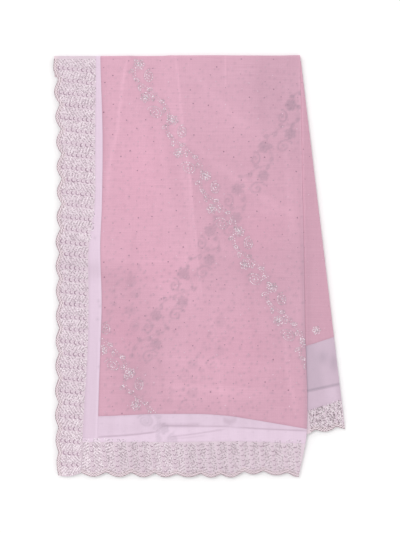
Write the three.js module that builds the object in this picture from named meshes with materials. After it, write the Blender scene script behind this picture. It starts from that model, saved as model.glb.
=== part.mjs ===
// A georgette saree folded for the shelf and laid flat, in millimetres, +Z up.
//
// The cloth is folded in two across its width and in six along its length. The end piece lies
// uppermost: a pink panel edged on its long side and across its end with a lilac strip and a
// scalloped lace. Panel, strip and lace turn together over the far edge of the stack and a little
// way under it. A second stretch of the same end fans out on the right from below the first. The
// stretches that nobody sees share one solid whose edges keep their layers.
//
// Pieces are laid out in the cloth's own flat coordinates, u across the width from the lace's
// outermost scallop and v along the length from the hem, and then folded over the stack.

import * as THREE from "three";

// ---------------------------------------------------------------- driving sizes

const CLOTH_LENGTH = 5500;
const CLOTH_WIDTH = 1100;
const FOLDS_ALONG = 6;
const FOLDS_ACROSS = 2;
const STRETCH = CLOTH_LENGTH / FOLDS_ALONG; // hem to far fold of the folded saree
const HALF_WIDTH = CLOTH_WIDTH / FOLDS_ACROSS; // lace tips to right-hand fold

const WALL = 1.2; // thickness given to each shown stretch of cloth
const SEAM = 0.3; // gap that every seam and every rest keeps
const STACK = 9; // thickness of the hidden stretches together
const FOLD_ROUND = 6.6; // largest radius of the far fold
const TURNED_UNDER = 40; // cloth that lies under the stack behind the far fold
const TUCK_RADIUS = 2.4; // round of the front stretch's right-hand fold
const FAN_DEGREES = 6.85; // turn of the second stretch from below the first

const SIDE_SCALLOPS = 17;
const SIDE_PITCH = STRETCH / SIDE_SCALLOPS;
const CORD = 0.5; // height of the corded lace edge
const SPRIG = 0.7; // height of an embroidered sprig, two to each scallop

const FOLD_LINE = STRETCH - FOLD_ROUND; // where the cloth begins to turn over
const BASE = STACK + SEAM; // underside of a stretch that lies on the stack
const UNDER_TOP = BASE + WALL; // top of the second stretch
const STEP = WALL + SEAM; // rise of the front stretch onto the second one

// ---------------------------------------------------------------- outlines by station

// Lace and strip along the long edge: outermost scallop, scallop depth, lace seam, strip seam.
const SIDE = [
  { v: 0, tip: 8, depth: 3, lace: 59.7, strip: 97 },
  { v: 133, tip: 4, depth: 8, lace: 66, strip: 97.5 },
  { v: 278, tip: 5, depth: 8, lace: 74.5, strip: 102 },
  { v: 380, tip: 6, depth: 8, lace: 76.5, strip: 105 },
  { v: 500, tip: 5, depth: 9.5, lace: 77, strip: 102 },
  { v: 590, tip: 7.7, depth: 11.5, lace: 89.5, strip: 105.5 },
  { v: 742, tip: 6, depth: 12, lace: 91, strip: 107 },
  { v: 880, tip: 0, depth: 10, lace: 92, strip: 103 },
  { v: STRETCH, tip: 0, depth: 1, lace: 92, strip: 102 },
];

// Lace, strip and band across the end: outermost scallop, depth, lace seam, tuck line, panel seam.
const HEM = [
  { u: 0, tip: 3, depth: 5, lace: 76, tuck: 87, panel: 133 },
  { u: 97, tip: 2, depth: 10, lace: 77, tuck: 87, panel: 133 },
  { u: 218, tip: 1, depth: 10, lace: 77, tuck: 97.5, panel: 138 },
  { u: 240, tip: 1, depth: 8, lace: 77, tuck: 111, panel: 138 },
  { u: 318, tip: 1, depth: 8, lace: 78, tuck: 111.5, panel: 138 },
  { u: 380, tip: 0, depth: 9, lace: 79, tuck: 110, panel: 134 },
  { u: 426, tip: 7, depth: 9, lace: 78, tuck: 107, panel: 127 },
  { u: 485, tip: 5, depth: 8, lace: 76, tuck: 104, panel: 117 },
  { u: 549, tip: 0, depth: 8, lace: 74, tuck: 101, panel: 106 },
];

// Where the end's scallops meet, uneven as the lace is pulled; the first valley is the corner's.
const HEM_VALLEYS = [-6, 59.7, 114, 170, 220, 266, 320, 362, 413, 455, 507, 557];

// Right-hand fold of the front stretch, and the crease that marks the edge of what lies below it.
const CREASES = [
  { v: 0, fold: 532, edge: 391, dart: 118 },
  { v: 104, fold: HALF_WIDTH, edge: 378, dart: 118 },
  { v: 340, fold: 546, edge: 334, dart: 117 },
  { v: 520, fold: 543, edge: 306, dart: 116 },
  { v: 650, fold: 540, edge: 298, dart: 119 },
  { v: 820, fold: 537, edge: 271, dart: 155 },
  { v: STRETCH, fold: 535.5, edge: 266, dart: 162 },
];

// The second stretch, by its distance in from its own right-hand fold: seams measured down it.
const UNDER = [
  { across: 0, panel: 615, tuck: 722, lace: 753, tip: 816 },
  { across: 60, panel: 627, tuck: 727, lace: 765, tip: 817 },
  { across: 130, panel: 640, tuck: 733, lace: 775, tip: 820 },
  { across: 330, panel: 660, tuck: 745, lace: 786, tip: 824 },
];
const UNDER_PITCH = 46;
const UNDER_VALLEY = 18; // first valley from the fold
const UNDER_DEPTH = 8;
const UNDER_HIDDEN = 130; // strip and lace run this far in, out of sight
const UNDER_START = 12; // its panel ends inside the far fold, clear of the turned cloth
const UNDER_CLEAR = 6; // its panel stops this far short of the crease that it makes above

// ---------------------------------------------------------------- relief of the cloth

const STEP_RUN = { begins: 35, ends: 10 }; // before the hidden edge, where the front steps up
const STEP_FADE = { none: 45, full: 78 }; // up from the hem, where the second stretch ends
const FOLD_RISE = { begins: 45, ends: 8 }; // before the right-hand fold
const EDGE_CREASE = { height: 0.9, setback: 14, width: 9 };
const DART_CREASE = { height: 1.1, width: 13, none: 560, full: 700 };
const SAG = { height: 0.5, across: 47, along: 130, none: 150, full: 260 };
const HEM_WAVE = { height: 0.55, across: 21, full: 40, none: 125, left: 60, leftFull: 110 };
const UNDER_WAVE = { height: 0.45, across: 11, along: 60, none: 6, full: 22 };
const TUCK_LIP = { height: 0.9, fullTo: 40, noneFrom: 58 }; // raised work of the second stretch

// ---------------------------------------------------------------- small helpers

const clamp01 = (t) => Math.min(1, Math.max(0, t));
const smooth = (low, high, x) => {
  const t = clamp01((x - low) / (high - low));
  return t * t * (3 - 2 * t);
};
const mix = (a, b, t) => a + (b - a) * t;
const ridge = (distance, width) => Math.exp(-((distance / width) ** 2));
const steps = (count) => Array.from({ length: count + 1 }, (_, i) => i / count);

/** Reads one column of a table at x, on a smooth curve through its rows. */
function along(table, key, column, x) {
  const last = table.length - 2;
  let i = table.findIndex((row) => row[key] > x) - 1;
  if (i < 0) i = x < table[0][key] ? 0 : last;
  const at = (k) => table[Math.min(table.length - 1, Math.max(0, k))];
  const slope = (k) =>
    (at(k + 1)[column] - at(k - 1)[column]) / (at(k + 1)[key] - at(k - 1)[key]);
  const [a, b] = [at(i), at(i + 1)];
  const span = b[key] - a[key];
  const t = clamp01((x - a[key]) / span);
  const [t2, t3] = [t * t, t * t * t];
  return (
    (2 * t3 - 3 * t2 + 1) * a[column] +
    (t3 - 2 * t2 + t) * span * slope(i) +
    (3 * t2 - 2 * t3) * b[column] +
    (t3 - t2) * span * slope(i + 1)
  );
}

const sideAt = (column, v) => along(SIDE, "v", column, v);
const hemAt = (column, u) => along(HEM, "u", column, u);
const creaseAt = (column, v) => along(CREASES, "v", column, v);
const underAt = (column, across) => along(UNDER, "across", column, across);

/** Height of a round lobe between two sharp valleys, 0 in the valley and 1 at the tip. */
const lobe = (distance, pitch) => Math.abs(Math.sin((Math.PI * distance) / pitch));

/** Outer edge of the side lace at v. */
const sideEdge = (v) => sideAt("tip", v) + sideAt("depth", v) * (1 - lobe(v, SIDE_PITCH));

/** Where the end's lace has passed a number of scallops, counted from the corner. */
function scallopAt(count) {
  const k = Math.min(HEM_VALLEYS.length - 2, Math.max(0, Math.floor(count)));
  return mix(HEM_VALLEYS[k], HEM_VALLEYS[k + 1], count - k);
}

/** How many of the end's scallops lie before u. */
function scallopsTo(u) {
  const next = HEM_VALLEYS.findIndex((valley) => valley > u);
  const k = next < 0 ? HEM_VALLEYS.length - 2 : Math.max(0, next - 1);
  return k + (u - HEM_VALLEYS[k]) / (HEM_VALLEYS[k + 1] - HEM_VALLEYS[k]);
}

/** Outer edge of the hem lace at u. */
const hemEdge = (u) => hemAt("tip", u) + hemAt("depth", u) * (1 - lobe(scallopsTo(u), 1));

// ---------------------------------------------------------------- the lie of the cloth

/** Underside of the front stretch: it steps up onto the second stretch and rises to its fold. */
function frontBase(u, v) {
  const edge = creaseAt("edge", v);
  const fold = creaseAt("fold", v);
  const dart = creaseAt("dart", v);
  const onSecond =
    STEP *
    smooth(edge - STEP_RUN.begins, edge - STEP_RUN.ends, u) *
    smooth(STEP_FADE.none, STEP_FADE.full, v);
  const toFold =
    (TUCK_RADIUS - WALL) * smooth(fold - FOLD_RISE.begins, fold - FOLD_RISE.ends, u);
  const besideEdge = EDGE_CREASE.height * ridge(u - edge + EDGE_CREASE.setback, EDGE_CREASE.width);
  const dartRidge =
    DART_CREASE.height *
    smooth(DART_CREASE.none, DART_CREASE.full, v) *
    ridge(u - dart, DART_CREASE.width);
  const sag =
    SAG.height * (1 + Math.sin(u / SAG.across + v / SAG.along)) * smooth(SAG.none, SAG.full, u);
  const hemWave =
    HEM_WAVE.height *
    (1 + Math.sin(u / HEM_WAVE.across)) *
    (1 - smooth(HEM_WAVE.full, HEM_WAVE.none, v)) *
    smooth(HEM_WAVE.left, HEM_WAVE.leftFull, u);
  return BASE + onSecond + toFold + besideEdge + dartRidge + sag + hemWave;
}

/**
 * Folds a flat point over the stack.
 * A station is {v} on top, {turn} round the far fold in radians, or {back} under the stack.
 * Depth is measured in from the cloth's outer face, and is negative for raised work.
 */
function fold(u, station, depth) {
  const flat = station.v ?? FOLD_LINE;
  const base = frontBase(u, flat);
  if (station.v !== undefined) return new THREE.Vector3(u, flat, base + WALL - depth);
  const round = (base + WALL) / 2;
  if (station.turn === undefined) {
    return new THREE.Vector3(u, FOLD_LINE - station.back, depth);
  }
  const r = round - depth;
  const y = FOLD_LINE + r * Math.sin(station.turn);
  return new THREE.Vector3(u, y, round + r * Math.cos(station.turn));
}

const TURN_STEPS = 7;
const OVER_THE_FOLD = [
  ...steps(TURN_STEPS).slice(1).map((t) => ({ turn: Math.PI * t })),
  { back: TURNED_UNDER / 2 },
  { back: TURNED_UNDER },
];

// ---------------------------------------------------------------- solids from grids and rings

/** Turns vertices and triangles into a geometry whose faces point out. */
function closedGeometry(points, triangles) {
  let volume = 0;
  for (const [a, b, c] of triangles) {
    volume += points[a].dot(new THREE.Vector3().crossVectors(points[b], points[c]));
  }
  const index = volume > 0 ? triangles.flat() : triangles.flatMap(([a, b, c]) => [a, c, b]);
  const geometry = new THREE.BufferGeometry().setFromPoints(points);
  geometry.setIndex(index);
  geometry.computeVertexNormals();
  return geometry;
}

/** A wall of cloth: pointAt(row, column, inner) gives its outer and inner faces. */
function wall(rows, columns, pointAt) {
  const points = [];
  for (const inner of [false, true]) {
    for (let i = 0; i < rows; i++) {
      for (let j = 0; j < columns; j++) points.push(pointAt(i, j, inner));
    }
  }
  const outer = (i, j) => i * columns + j;
  const inner = (i, j) => rows * columns + outer(i, j);
  const triangles = [];
  const quad = (a, b, c, d) => triangles.push([a, b, c], [a, c, d]);
  for (let i = 0; i + 1 < rows; i++) {
    for (let j = 0; j + 1 < columns; j++) {
      quad(outer(i, j), outer(i, j + 1), outer(i + 1, j + 1), outer(i + 1, j));
      quad(inner(i, j), inner(i + 1, j), inner(i + 1, j + 1), inner(i, j + 1));
    }
    const end = columns - 1;
    quad(outer(i, 0), outer(i + 1, 0), inner(i + 1, 0), inner(i, 0));
    quad(outer(i, end), inner(i, end), inner(i + 1, end), outer(i + 1, end));
  }
  for (let j = 0; j + 1 < columns; j++) {
    const end = rows - 1;
    quad(outer(0, j), inner(0, j), inner(0, j + 1), outer(0, j + 1));
    quad(outer(end, j), outer(end, j + 1), inner(end, j + 1), inner(end, j));
  }
  return closedGeometry(points, triangles);
}

/** A solid through a pile of rings that all have the same number of points. */
function pile(rings) {
  const count = rings[0].length;
  const points = rings.flat();
  const triangles = [];
  for (let k = 0; k + 1 < rings.length; k++) {
    for (let i = 0; i < count; i++) {
      const [a, b] = [k * count + i, k * count + ((i + 1) % count)];
      triangles.push([a, b, b + count], [a, b + count, a + count]);
    }
  }
  const cap = (ring) =>
    THREE.ShapeUtils.triangulateShape(ring.map((p) => new THREE.Vector2(p.x, p.y)), []);
  const top = (rings.length - 1) * count;
  const clockwise = THREE.ShapeUtils.isClockWise(rings[0].map((p) => new THREE.Vector2(p.x, p.y)));
  for (const [a, b, c] of cap(rings[0])) triangles.push(clockwise ? [a, b, c] : [a, c, b]);
  for (const [a, b, c] of cap(rings.at(-1))) {
    triangles.push(clockwise ? [top + a, top + c, top + b] : [top + a, top + b, top + c]);
  }
  return closedGeometry(points, triangles);
}

// ---------------------------------------------------------------- front stretch

const TUCK_TURNS = [30, 60, 90].map(THREE.MathUtils.degToRad);

/** A front piece that ends in the rounded right-hand fold: stationAt(row, u) places its rows. */
function foldedWall(rowCount, leftAt, stationAt) {
  const columns = PANEL_COLUMNS;
  return wall(rowCount, columns.length + TUCK_TURNS.length, (i, j, inner) => {
    const depth = inner ? WALL : 0;
    const height = stationAt(i, HALF_WIDTH).v ?? FOLD_LINE;
    const start = creaseAt("fold", height) - TUCK_RADIUS;
    if (j < columns.length) {
      const u = columns[j](leftAt(i), start, height);
      return fold(u, stationAt(i, u), depth);
    }
    const turn = TUCK_TURNS[j - columns.length];
    const r = TUCK_RADIUS - depth;
    const drop = TUCK_RADIUS - r * Math.cos(turn);
    return fold(start + r * Math.sin(turn), stationAt(i, start), drop);
  });
}

/**
 * Columns across a front piece, from its left seam to the round of its right-hand fold. Each
 * lies at a share of the way between two lines: the seam, the dart, the hidden edge or the fold.
 */
const LINES = {
  left: (left) => left,
  beforeDart: (left, start, v) => creaseAt("dart", v) - 10,
  onDart: (left, start, v) => creaseAt("dart", v) + 6,
  afterDart: (left, start, v) => creaseAt("dart", v) + 22,
  beforeEdge: (left, start, v) => creaseAt("edge", v) - STEP_RUN.begins,
  onEdge: (left, start, v) => creaseAt("edge", v) - STEP_RUN.ends,
  afterEdge: (left, start, v) => creaseAt("edge", v) + 8,
  beforeFold: (left, start) => start - FOLD_RISE.begins,
  fold: (left, start) => start,
};
const PANEL_SPANS = [
  { from: "left", to: "beforeDart", gaps: 2 },
  { from: "beforeDart", to: "onDart", gaps: 1 },
  { from: "onDart", to: "afterDart", gaps: 1 },
  { from: "afterDart", to: "beforeEdge", gaps: 8 },
  { from: "beforeEdge", to: "onEdge", gaps: 2 },
  { from: "onEdge", to: "afterEdge", gaps: 1 },
  { from: "afterEdge", to: "beforeFold", gaps: 7 },
  { from: "beforeFold", to: "fold", gaps: 3 },
];
const PANEL_COLUMNS = [
  LINES.left,
  ...PANEL_SPANS.flatMap(({ from, to, gaps }) =>
    steps(gaps)
      .slice(1)
      .map((t) => (...place) => mix(LINES[from](...place), LINES[to](...place), t)),
  ),
];

function frontPanel() {
  const flatRows = steps(30);
  const rows = flatRows.length + OVER_THE_FOLD.length;
  const station = (i, u) => {
    if (i >= flatRows.length) return OVER_THE_FOLD[i - flatRows.length];
    return { v: mix(hemAt("panel", u) + SEAM / 2, FOLD_LINE, flatRows[i]) };
  };
  const left = (i) => sideAt("strip", station(i, 0).v ?? FOLD_LINE) + SEAM / 2;
  return foldedWall(rows, left, station);
}

/** A piece across the end of the front stretch, between two lines measured up from the hem. */
function hemPiece(rowShares, leftSeam, lowSeam, highSeam) {
  const station = (i, u) => {
    const [low, high] = [hemAt(lowSeam, u) + SEAM / 2, hemAt(highSeam, u) - SEAM / 2];
    return { v: mix(low, high, rowShares[i]) };
  };
  const left = (i) => sideAt(leftSeam, station(i, 0).v) + SEAM / 2;
  return foldedWall(rowShares.length, left, station);
}

const hemBand = () => hemPiece(steps(2), "strip", "tuck", "panel");
const hemStrip = () => hemPiece(steps(2), "lace", "lace", "tuck");

const SCALLOP_STEPS = 6;
const FLATTENED = 12; // the lace's raised work dies away this near the far fold

/** Height of the embroidered sprigs at a distance along the lace. */
const sprigs = (distance, pitch) =>
  SPRIG * Math.max(0, Math.cos((4 * Math.PI * distance) / pitch));

/** Rows across the lace from its edge, with how much of the cord and of the sprigs each takes. */
const LACE_ROWS = [
  { share: 0, cord: 1, sprig: 0 },
  { share: 0.06, cord: 1, sprig: 0 },
  { share: 0.14, cord: 0, sprig: 0.3 },
  { share: 0.55, cord: 0, sprig: 1 },
  { share: 0.94, cord: 0, sprig: 1 },
  { share: 1, cord: 0, sprig: 0 },
];
const raised = (row, distance, pitch) => row.cord * CORD + row.sprig * sprigs(distance, pitch);

function hemLace() {
  const corner = HEM_VALLEYS[1]; // the first scallop belongs to the side lace
  const gaps = Math.round((scallopsTo(creaseAt("fold", 0)) - 1) * SCALLOP_STEPS);
  return wall(LACE_ROWS.length, gaps + 1 + TUCK_TURNS.length, (i, j, inner) => {
    const row = LACE_ROWS[i];
    const heightAt = (u) => mix(hemEdge(u), hemAt("lace", u) - SEAM / 2, row.share);
    const start = creaseAt("fold", heightAt(HALF_WIDTH)) - TUCK_RADIUS;
    if (j <= gaps) {
      const even = scallopAt(mix(1, scallopsTo(start), j / gaps));
      const left = sideAt("lace", heightAt(corner)) + SEAM / 2;
      const u = mix(left, start, (even - corner) / (start - corner));
      const work = raised(row, scallopsTo(u), 1);
      return fold(u, { v: heightAt(u) }, inner ? WALL : -work);
    }
    const turn = TUCK_TURNS[j - gaps - 1];
    const r = TUCK_RADIUS - (inner ? WALL : 0);
    const station = { v: heightAt(start) };
    return fold(start + r * Math.sin(turn), station, TUCK_RADIUS - r * Math.cos(turn));
  });
}

function sideLace() {
  const flatRows = steps(SIDE_SCALLOPS * SCALLOP_STEPS);
  const rows = flatRows.length + OVER_THE_FOLD.length;
  return wall(rows, LACE_ROWS.length, (i, j, inner) => {
    const row = LACE_ROWS[j];
    const onTop = i < flatRows.length;
    const v = onTop ? FOLD_LINE * flatRows[i] : FOLD_LINE;
    const u = mix(sideEdge(v), sideAt("lace", v) - SEAM / 2, row.share);
    if (!onTop) return fold(u, OVER_THE_FOLD[i - flatRows.length], inner ? WALL : 0);
    const corner = hemEdge(u) * (1 - smooth(0, SIDE_PITCH, v));
    const work = raised(row, v, SIDE_PITCH) * (1 - smooth(FOLD_LINE - FLATTENED, FOLD_LINE, v));
    return fold(u, { v: v + corner }, inner ? WALL : -work);
  });
}

function sideStrip() {
  const flatRows = steps(64);
  const rows = flatRows.length + OVER_THE_FOLD.length;
  const acrossAt = (v, share) =>
    mix(sideAt("lace", v) + SEAM / 2, sideAt("strip", v) - SEAM / 2, share);
  return wall(rows, 3, (i, j, inner) => {
    const onTop = i < flatRows.length;
    const bottom = hemAt("tuck", acrossAt(hemAt("tuck", 0), j / 2)) + SEAM / 2;
    const v = onTop ? mix(bottom, FOLD_LINE, flatRows[i]) : FOLD_LINE;
    const u = acrossAt(v, j / 2);
    const station = onTop ? { v } : OVER_THE_FOLD[i - flatRows.length];
    return fold(u, station, inner ? WALL : 0);
  });
}

// ---------------------------------------------------------------- second stretch

const FAN = THREE.MathUtils.degToRad(FAN_DEGREES);
const FAN_PIVOT = new THREE.Vector2(creaseAt("fold", STRETCH), STRETCH - 1);

/** Places a point of the second stretch, measured in from its fold and down from the far edge. */
function underPoint(across, down, z) {
  const x = FAN_PIVOT.x + down * Math.sin(FAN) - across * Math.cos(FAN);
  const y = FAN_PIVOT.y - down * Math.cos(FAN) - across * Math.sin(FAN);
  const shown = smooth(UNDER_WAVE.none, UNDER_WAVE.full, x - creaseAt("fold", y));
  const wave = 1 + Math.sin(across / UNDER_WAVE.across + down / UNDER_WAVE.along);
  return new THREE.Vector3(x, y, BASE + z + shown * UNDER_WAVE.height * wave);
}

/** The right-hand fold of the second stretch is rounded off, top and bottom, over these columns. */
const UNDER_EDGE = [
  { across: 0, rounded: 0.35 },
  { across: 0.5, rounded: 0.1 },
  { across: 2, rounded: 0 },
];
const UNDER_INNER = 6; // even columns begin this far in from the fold

/** Columns across a piece of the second stretch, from its fold in to a width. */
const underColumns = (gaps, width) => [
  ...UNDER_EDGE,
  ...steps(gaps).map((t) => ({ across: mix(UNDER_INNER, width, t), rounded: 0 })),
];

/** A strip of the second stretch between two of its seams, out of sight beyond the front fold. */
function underPiece(rowShares, highSeam, lowSeam, liftAt = () => 0) {
  const columns = underColumns(8, UNDER_HIDDEN);
  return wall(rowShares.length, columns.length, (i, j, inner) => {
    const { across, rounded } = columns[j];
    const high = underAt(highSeam, across) + SEAM / 2;
    const down = mix(high, underAt(lowSeam, across) - SEAM / 2, rowShares[i]);
    const z = inner ? rounded : WALL - rounded + liftAt(rowShares[i], across);
    return underPoint(across, down, z);
  });
}

/** The panel of the second stretch reaches in as far as the crease that it makes above. */
function underPanel() {
  const rows = steps(16);
  const low = (across) => underAt("panel", across) - SEAM / 2;
  const reach = (down) => {
    const y = FAN_PIVOT.y - down * Math.cos(FAN);
    const foldX = FAN_PIVOT.x + down * Math.sin(FAN);
    return (foldX - creaseAt("edge", y) - UNDER_CLEAR) / Math.cos(FAN);
  };
  return wall(rows.length, underColumns(7, 0).length, (i, j, inner) => {
    const { across, rounded } = underColumns(7, reach(mix(UNDER_START, low(0), rows[i])))[j];
    const start = UNDER_START - across * Math.tan(FAN); // level with the far fold
    const down = mix(start, low(across), rows[i]);
    return underPoint(across, down, inner ? rounded : WALL - rounded);
  });
}

/** How much of the raised work is left before the second stretch goes below the front one. */
const shownAt = (across) => 1 - smooth(TUCK_LIP.fullTo, TUCK_LIP.noneFrom, across);

/** The band's lower edge stands up a little where it is tucked over the strip. */
function underBand() {
  const lip = (share, across) => TUCK_LIP.height * smooth(0.7, 1, share) * shownAt(across);
  return underPiece([0, 0.3, 0.6, 0.85, 1], "panel", "tuck", lip);
}

const underStrip = () => underPiece(steps(2), "tuck", "lace");

function underLace() {
  const gaps = 18;
  const edge = (across) =>
    underAt("tip", across) - UNDER_DEPTH * (1 - lobe(across - UNDER_VALLEY, UNDER_PITCH));
  return wall(LACE_ROWS.length, gaps + 1, (i, j, inner) => {
    const row = LACE_ROWS[i];
    const across = (UNDER_HIDDEN * j) / gaps;
    const down = mix(edge(across), underAt("lace", across) + SEAM / 2, row.share);
    const work = shownAt(across) * raised(row, across - UNDER_VALLEY, UNDER_PITCH);
    return underPoint(across, down, inner ? 0 : WALL + work);
  });
}

// ---------------------------------------------------------------- hidden stretches

/** Each fold of the stack: how far its edge stands in, and how far its scallops are shifted. */
const STACK_LAYERS = [
  { inset: 1.0, shift: 3, top: 1.5 },
  { inset: 2.6, shift: -4, top: 3.2 },
  { inset: 0.4, shift: 5, top: 5.0 },
  { inset: 2.0, shift: -2, top: 6.8 },
  { inset: 0.6, shift: 1, top: 8.6 },
];
const GROOVE = 2.2; // how far the cloth draws in between two folds
const GROOVE_HEIGHT = 0.3;
const FACE_ROUND = 0.4; // each fold's edge rises over this from its groove
const LACE_OVERHANG = 4; // shown lace beyond the stack's own scallops
const CORE_ROUND = 3.7; // round of the stack inside the far fold
const CORE_MID = (BASE + WALL) / 2;
const STACK_HEM = 17; // stack's scalloped end, up from the shown lace's tips
const STACK_NOTCH = 114; // where the stack widens from the front fold to the fanned one
const NOTCH_SLOPE = 6;
const STACK_LEFT = 24; // first point in from the scalloped side
const FAN_INSET = 2; // stack's edge in from the second stretch's fold
const FAR_INSET = 7; // more than that near the far fold, clear of the cloth turned round it
const WAVER = { height: 0.5, wave: 31 };

/** Outline of the stack at one height, drawn in by an inset, anticlockwise from the hem corner. */
function stackRing(z, inset, shift) {
  const waver = (t) => WAVER.height * Math.sin(t / WAVER.wave + shift);
  const half = Math.sqrt(Math.max(0, CORE_ROUND ** 2 - (z - CORE_MID) ** 2));
  const turned = z <= STACK_LAYERS[0].top; // the cloth turned under the stack lies here
  const far = turned ? FOLD_LINE - TURNED_UNDER - CORE_MID : FOLD_LINE + half;
  const hem = STACK_HEM + inset;
  const notch = STACK_NOTCH + inset;
  const clear = (y) =>
    FAN_INSET + inset + FAR_INSET * smooth(FOLD_LINE - 130, FOLD_LINE - 50, y);
  const foldX = (y) => FAN_PIVOT.x + (FAN_PIVOT.y - y) * Math.tan(FAN) - clear(y);
  const frontX = (y) => creaseAt("fold", y) - TUCK_RADIUS - 1 - inset;
  const ring = [];
  const add = (x, y) => ring.push(new THREE.Vector3(x, y, z));
  for (const t of steps(10)) {
    add(mix(STACK_LEFT, frontX(hem), t), hem + waver(t * HALF_WIDTH));
  }
  for (const t of steps(3).slice(1)) add(frontX(mix(hem, notch, t)), mix(hem, notch, t));
  const shoulder = notch + NOTCH_SLOPE;
  for (const t of steps(2).slice(1)) {
    add(mix(frontX(notch), foldX(shoulder), t), mix(notch, shoulder, t));
  }
  for (const t of steps(14).slice(1)) {
    const y = mix(shoulder, far - 4, t);
    add(foldX(y) + Math.min(0, waver(y)), y);
  }
  for (const t of steps(6)) {
    add(mix(FAN_PIVOT.x - FAR_INSET - inset, STACK_LEFT, t), far);
  }
  const count = SIDE_SCALLOPS * 4;
  for (let k = count - 1; k > 1; k--) {
    const y = Math.max(hem + 2, mix(0, FOLD_LINE - TURNED_UNDER - NOTCH_SLOPE, k / count));
    add(sideEdge(y + shift) + LACE_OVERHANG + inset + waver(y), y);
  }
  return ring;
}

function foldedLayers() {
  const rings = [stackRing(0, GROOVE, 0)];
  let floor = 0;
  for (const { inset, shift, top } of STACK_LAYERS) {
    rings.push(stackRing(floor + FACE_ROUND, inset, shift), stackRing(top, inset, shift));
    floor = top + GROOVE_HEIGHT;
    if (floor + FACE_ROUND < STACK) rings.push(stackRing(floor, inset + GROOVE, shift));
  }
  rings.push(stackRing(STACK, GROOVE, 0));
  return pile(rings);
}

// ---------------------------------------------------------------- materials and assembly

const cloth = (color, roughness) =>
  new THREE.MeshStandardMaterial({ color, roughness, metalness: 0, side: THREE.DoubleSide });

const PINK = cloth(0xe1aec4, 0.78);
const PINK_SHADED = cloth(0xd4a7ba, 0.8);
const LILAC = cloth(0xe6cde1, 0.6);
const LILAC_SHADED = cloth(0xcdb7c8, 0.65);
const LACE = cloth(0xdac8d2, 0.55);

const PIECES = [
  ["front_panel", frontPanel, PINK],
  ["side_strip", sideStrip, LILAC],
  ["side_lace", sideLace, LACE],
  ["hem_band", hemBand, LILAC],
  ["hem_strip", hemStrip, LILAC],
  ["hem_lace", hemLace, LACE],
  ["under_panel", underPanel, PINK_SHADED],
  ["under_band", underBand, LILAC_SHADED],
  ["under_strip", underStrip, LILAC_SHADED],
  ["under_lace", underLace, LACE],
  ["folded_layers", foldedLayers, PINK_SHADED],
];

const saree = new THREE.Group();
for (const [name, make, material] of PIECES) {
  const mesh = new THREE.Mesh(make(), material);
  mesh.name = name;
  saree.add(mesh);
}

// The origin is under the middle of the folded saree, on the surface that it lies on.
const bounds = new THREE.Box3().setFromObject(saree);
const middle = bounds.getCenter(new THREE.Vector3());
saree.position.set(-middle.x, -middle.y, -bounds.min.z);

export default saree;
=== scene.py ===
"""A pink georgette saree, folded for the shelf and laid flat, with stone work and scalloped lace.

Lengths in the tables are millimetres in the cloth's own flat coordinates: u across the width from
the outermost scallop, v along the length from the hem. A lay turns them into places in metres.
"""

import logging
import math
from collections.abc import Callable, Iterator
from contextlib import contextmanager
from dataclasses import dataclass, field
from enum import Enum
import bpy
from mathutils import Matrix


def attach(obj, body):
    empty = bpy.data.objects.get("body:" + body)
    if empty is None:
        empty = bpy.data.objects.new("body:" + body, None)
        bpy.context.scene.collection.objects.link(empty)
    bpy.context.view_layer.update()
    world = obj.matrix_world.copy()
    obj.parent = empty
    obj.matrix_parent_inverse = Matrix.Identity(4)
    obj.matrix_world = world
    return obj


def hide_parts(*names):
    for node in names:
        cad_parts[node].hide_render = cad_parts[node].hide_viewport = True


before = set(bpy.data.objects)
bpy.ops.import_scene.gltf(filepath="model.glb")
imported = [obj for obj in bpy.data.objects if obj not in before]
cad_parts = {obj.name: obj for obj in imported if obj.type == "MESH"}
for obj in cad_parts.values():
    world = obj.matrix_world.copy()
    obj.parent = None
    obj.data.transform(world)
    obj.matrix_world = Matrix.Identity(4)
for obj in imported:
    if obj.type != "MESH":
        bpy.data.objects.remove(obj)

from types import SimpleNamespace

import bpy
import numpy as np

LOG = logging.getLogger("saree")
Array = np.ndarray
Spot = tuple[Array, Array]
Pair = tuple[float, float]
Colour = tuple[int, int, int]
Gaps = tuple[int, int]
Read = Callable[[Array, Array], Array]
Object = bpy.types.Object
Socket = bpy.types.NodeSocket

MM = 0.001
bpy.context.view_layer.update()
PICTURE_HEIGHT = 533

# ------------------------------------------------------------------ sizes shared with the solids

STRETCH = 5500 / 6  # hem to far fold of the folded saree
HALF_WIDTH = 550
WALL = 1.2
SEAM = 0.3
STACK = 9.0
FOLD_ROUND = 6.6
TURNED_UNDER = 40.0
TUCK = 1.2  # radius of the soft right-hand fold
FOLD_LINE = STRETCH - FOLD_ROUND
BASE = STACK + SEAM
STEP = WALL + SEAM
CLOTH = 0.5  # thickness of a shown ply
EASE = 0.05  # how far a shown ply keeps from its seam
STONE_SUNK, STITCH_SUNK, SEQUIN_SUNK = -0.12, -0.1, -0.05
MIDDLE_U, MIDDLE_V = 316.34, 458.49  # the frame's origin, in flat coordinates
SCALLOPS = 17
SIDE_PITCH = STRETCH / SCALLOPS
HEM_VALLEYS = (-6, 59.7, 114, 170, 220, 266, 320, 362, 413, 455, 507, 557, 607)


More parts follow.
